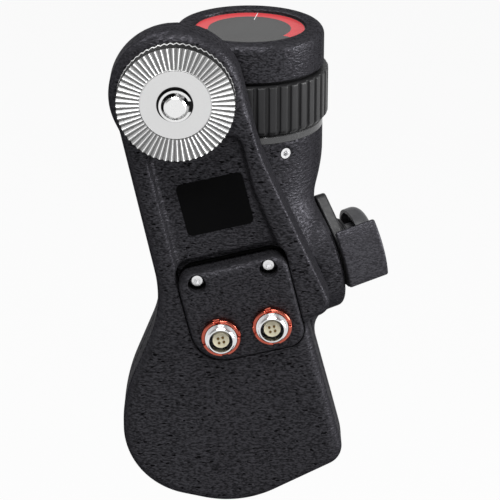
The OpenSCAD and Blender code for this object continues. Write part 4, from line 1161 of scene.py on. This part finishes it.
bezel_profile = rounded_outline([
    (CORE_R + FIT_GAP, 0, 0),
    (BEZEL_R, 0, 0.4),
    (BEZEL_R, HEAD_TOP, 2.6),
    (GLASS_SEAT_R, LIP_Z, 0.5),
    (GLASS_SEAT_R, LEDGE_Z, 0),
    (GLASS_LEDGE_R, LEDGE_Z, 0),
    (GLASS_LEDGE_R, BEZEL_STEP_Z, 0),
    (CORE_R + FIT_GAP, BEZEL_STEP_Z, 0),
], steps=8)
points, faces = lathe(bezel_profile, BEZEL_SEGMENTS)
add_piece("bezel_ring", head_to_row(points), faces, "grip", ["bezel"], bezel_paint)

# Camera, lights, floor and backdrop, in metres
CAMERA_AT = (0.019658, -0.549450, 0.186373)
CAMERA_ELEVATION = 22.5
CAMERA_LENS = 158.4
LIGHT_AIM = (0.01, 0.02, -0.06)
FLOOR_Z = -0.32
FLOOR_HALF = 6.0
FLOOR_GLOW = 0.94
BACKDROP_HEIGHT = (0.05, 0.45)
BACKDROP_TOP = 0.3
AMBIENT = 0.03

camera = bpy.data.objects.new("camera", bpy.data.cameras.new("camera"))
camera.data.sensor_width = 36
camera.data.lens = CAMERA_LENS
camera.data.clip_start = 0.01
camera.location = CAMERA_AT
camera.rotation_euler = (math.radians(90 - CAMERA_ELEVATION), 0, 0)
bpy.context.collection.objects.link(camera)
bpy.context.scene.camera = camera
bpy.context.scene.view_settings.view_transform = "Standard"


def add_light(name, place_at, size, watts):
    """A soft rectangular lamp that shines on the part."""
    lamp = bpy.data.lights.new(name, "AREA")
    lamp.shape = "RECTANGLE"
    lamp.size, lamp.size_y = size
    lamp.energy = watts
    holder = bpy.data.objects.new(name, lamp)
    holder.location = place_at
    holder.rotation_euler = (Vector(LIGHT_AIM) - Vector(place_at)).to_track_quat("-Z", "Y").to_euler()
    bpy.context.collection.objects.link(holder)


add_light("key", (0.0, -0.38, 0.80), (0.7, 0.25), 9.5)
add_light("right", (0.82, -0.10, 0.15), (0.3, 0.4), 8.5)
add_light("front", (0.0, -0.98, 0.20), (0.3, 0.3), 1.3)
add_light("back", (-0.40, 0.48, 0.70), (0.5, 0.4), 6.0)


def seen_directly(tree):
    """1 for rays from the camera and for those that mirrors and glass send on."""
    path = add(tree, "ShaderNodeLightPath")
    either = maths(tree, "MAXIMUM", path.outputs["Is Camera Ray"], path.outputs["Is Glossy Ray"])
    return maths(tree, "MAXIMUM", either, path.outputs["Is Transmission Ray"])


world = bpy.data.worlds.new("studio")
bpy.context.scene.world = world
world.use_nodes = True
tree = world.node_tree
direction = add(tree, "ShaderNodeTexCoord").outputs["Generated"]
height = add(tree, "ShaderNodeSeparateXYZ", Vector=direction).outputs[2]
backdrop = ranged(tree, height, *BACKDROP_HEIGHT, 1.0, BACKDROP_TOP)
shown = maths(tree, "MULTIPLY", seen_directly(tree), backdrop)
strength = maths(tree, "MAXIMUM", shown, AMBIENT)
set_inputs(tree, tree.nodes["Background"], Color=grey(1.0), Strength=strength)

floor_mesh = bpy.data.meshes.new("floor")
corners = [(x * FLOOR_HALF, y * FLOOR_HALF, FLOOR_Z) for x, y in ((-1, -1), (1, -1), (1, 1), (-1, 1))]
floor_mesh.from_pydata(corners, [], [(0, 1, 2, 3)])
floor = bpy.data.objects.new("floor", floor_mesh)
bpy.context.collection.objects.link(floor)
floor_paint, tree, shader = new_material("floor_paint")
shade = noise(tree, place(tree), 3)
colour = blend_colour(tree, shade, grey(0.50), grey(0.54))
set_inputs(tree, shader, Base_Color=colour, Roughness=0.9, Specular_IOR_Level=0.0)
glow = add(tree, "ShaderNodeEmission", Strength=1.0)
share = maths(tree, "MULTIPLY", seen_directly(tree), FLOOR_GLOW)
mixed = add(tree, "ShaderNodeMixShader", i0=share, i1=shader.outputs[0], i2=glow.outputs[0])
set_inputs(tree, tree.nodes["Material Output"], Surface=mixed.outputs[0])
floor_mesh.materials.append(floor_paint)

bpy.context.view_layer.update()
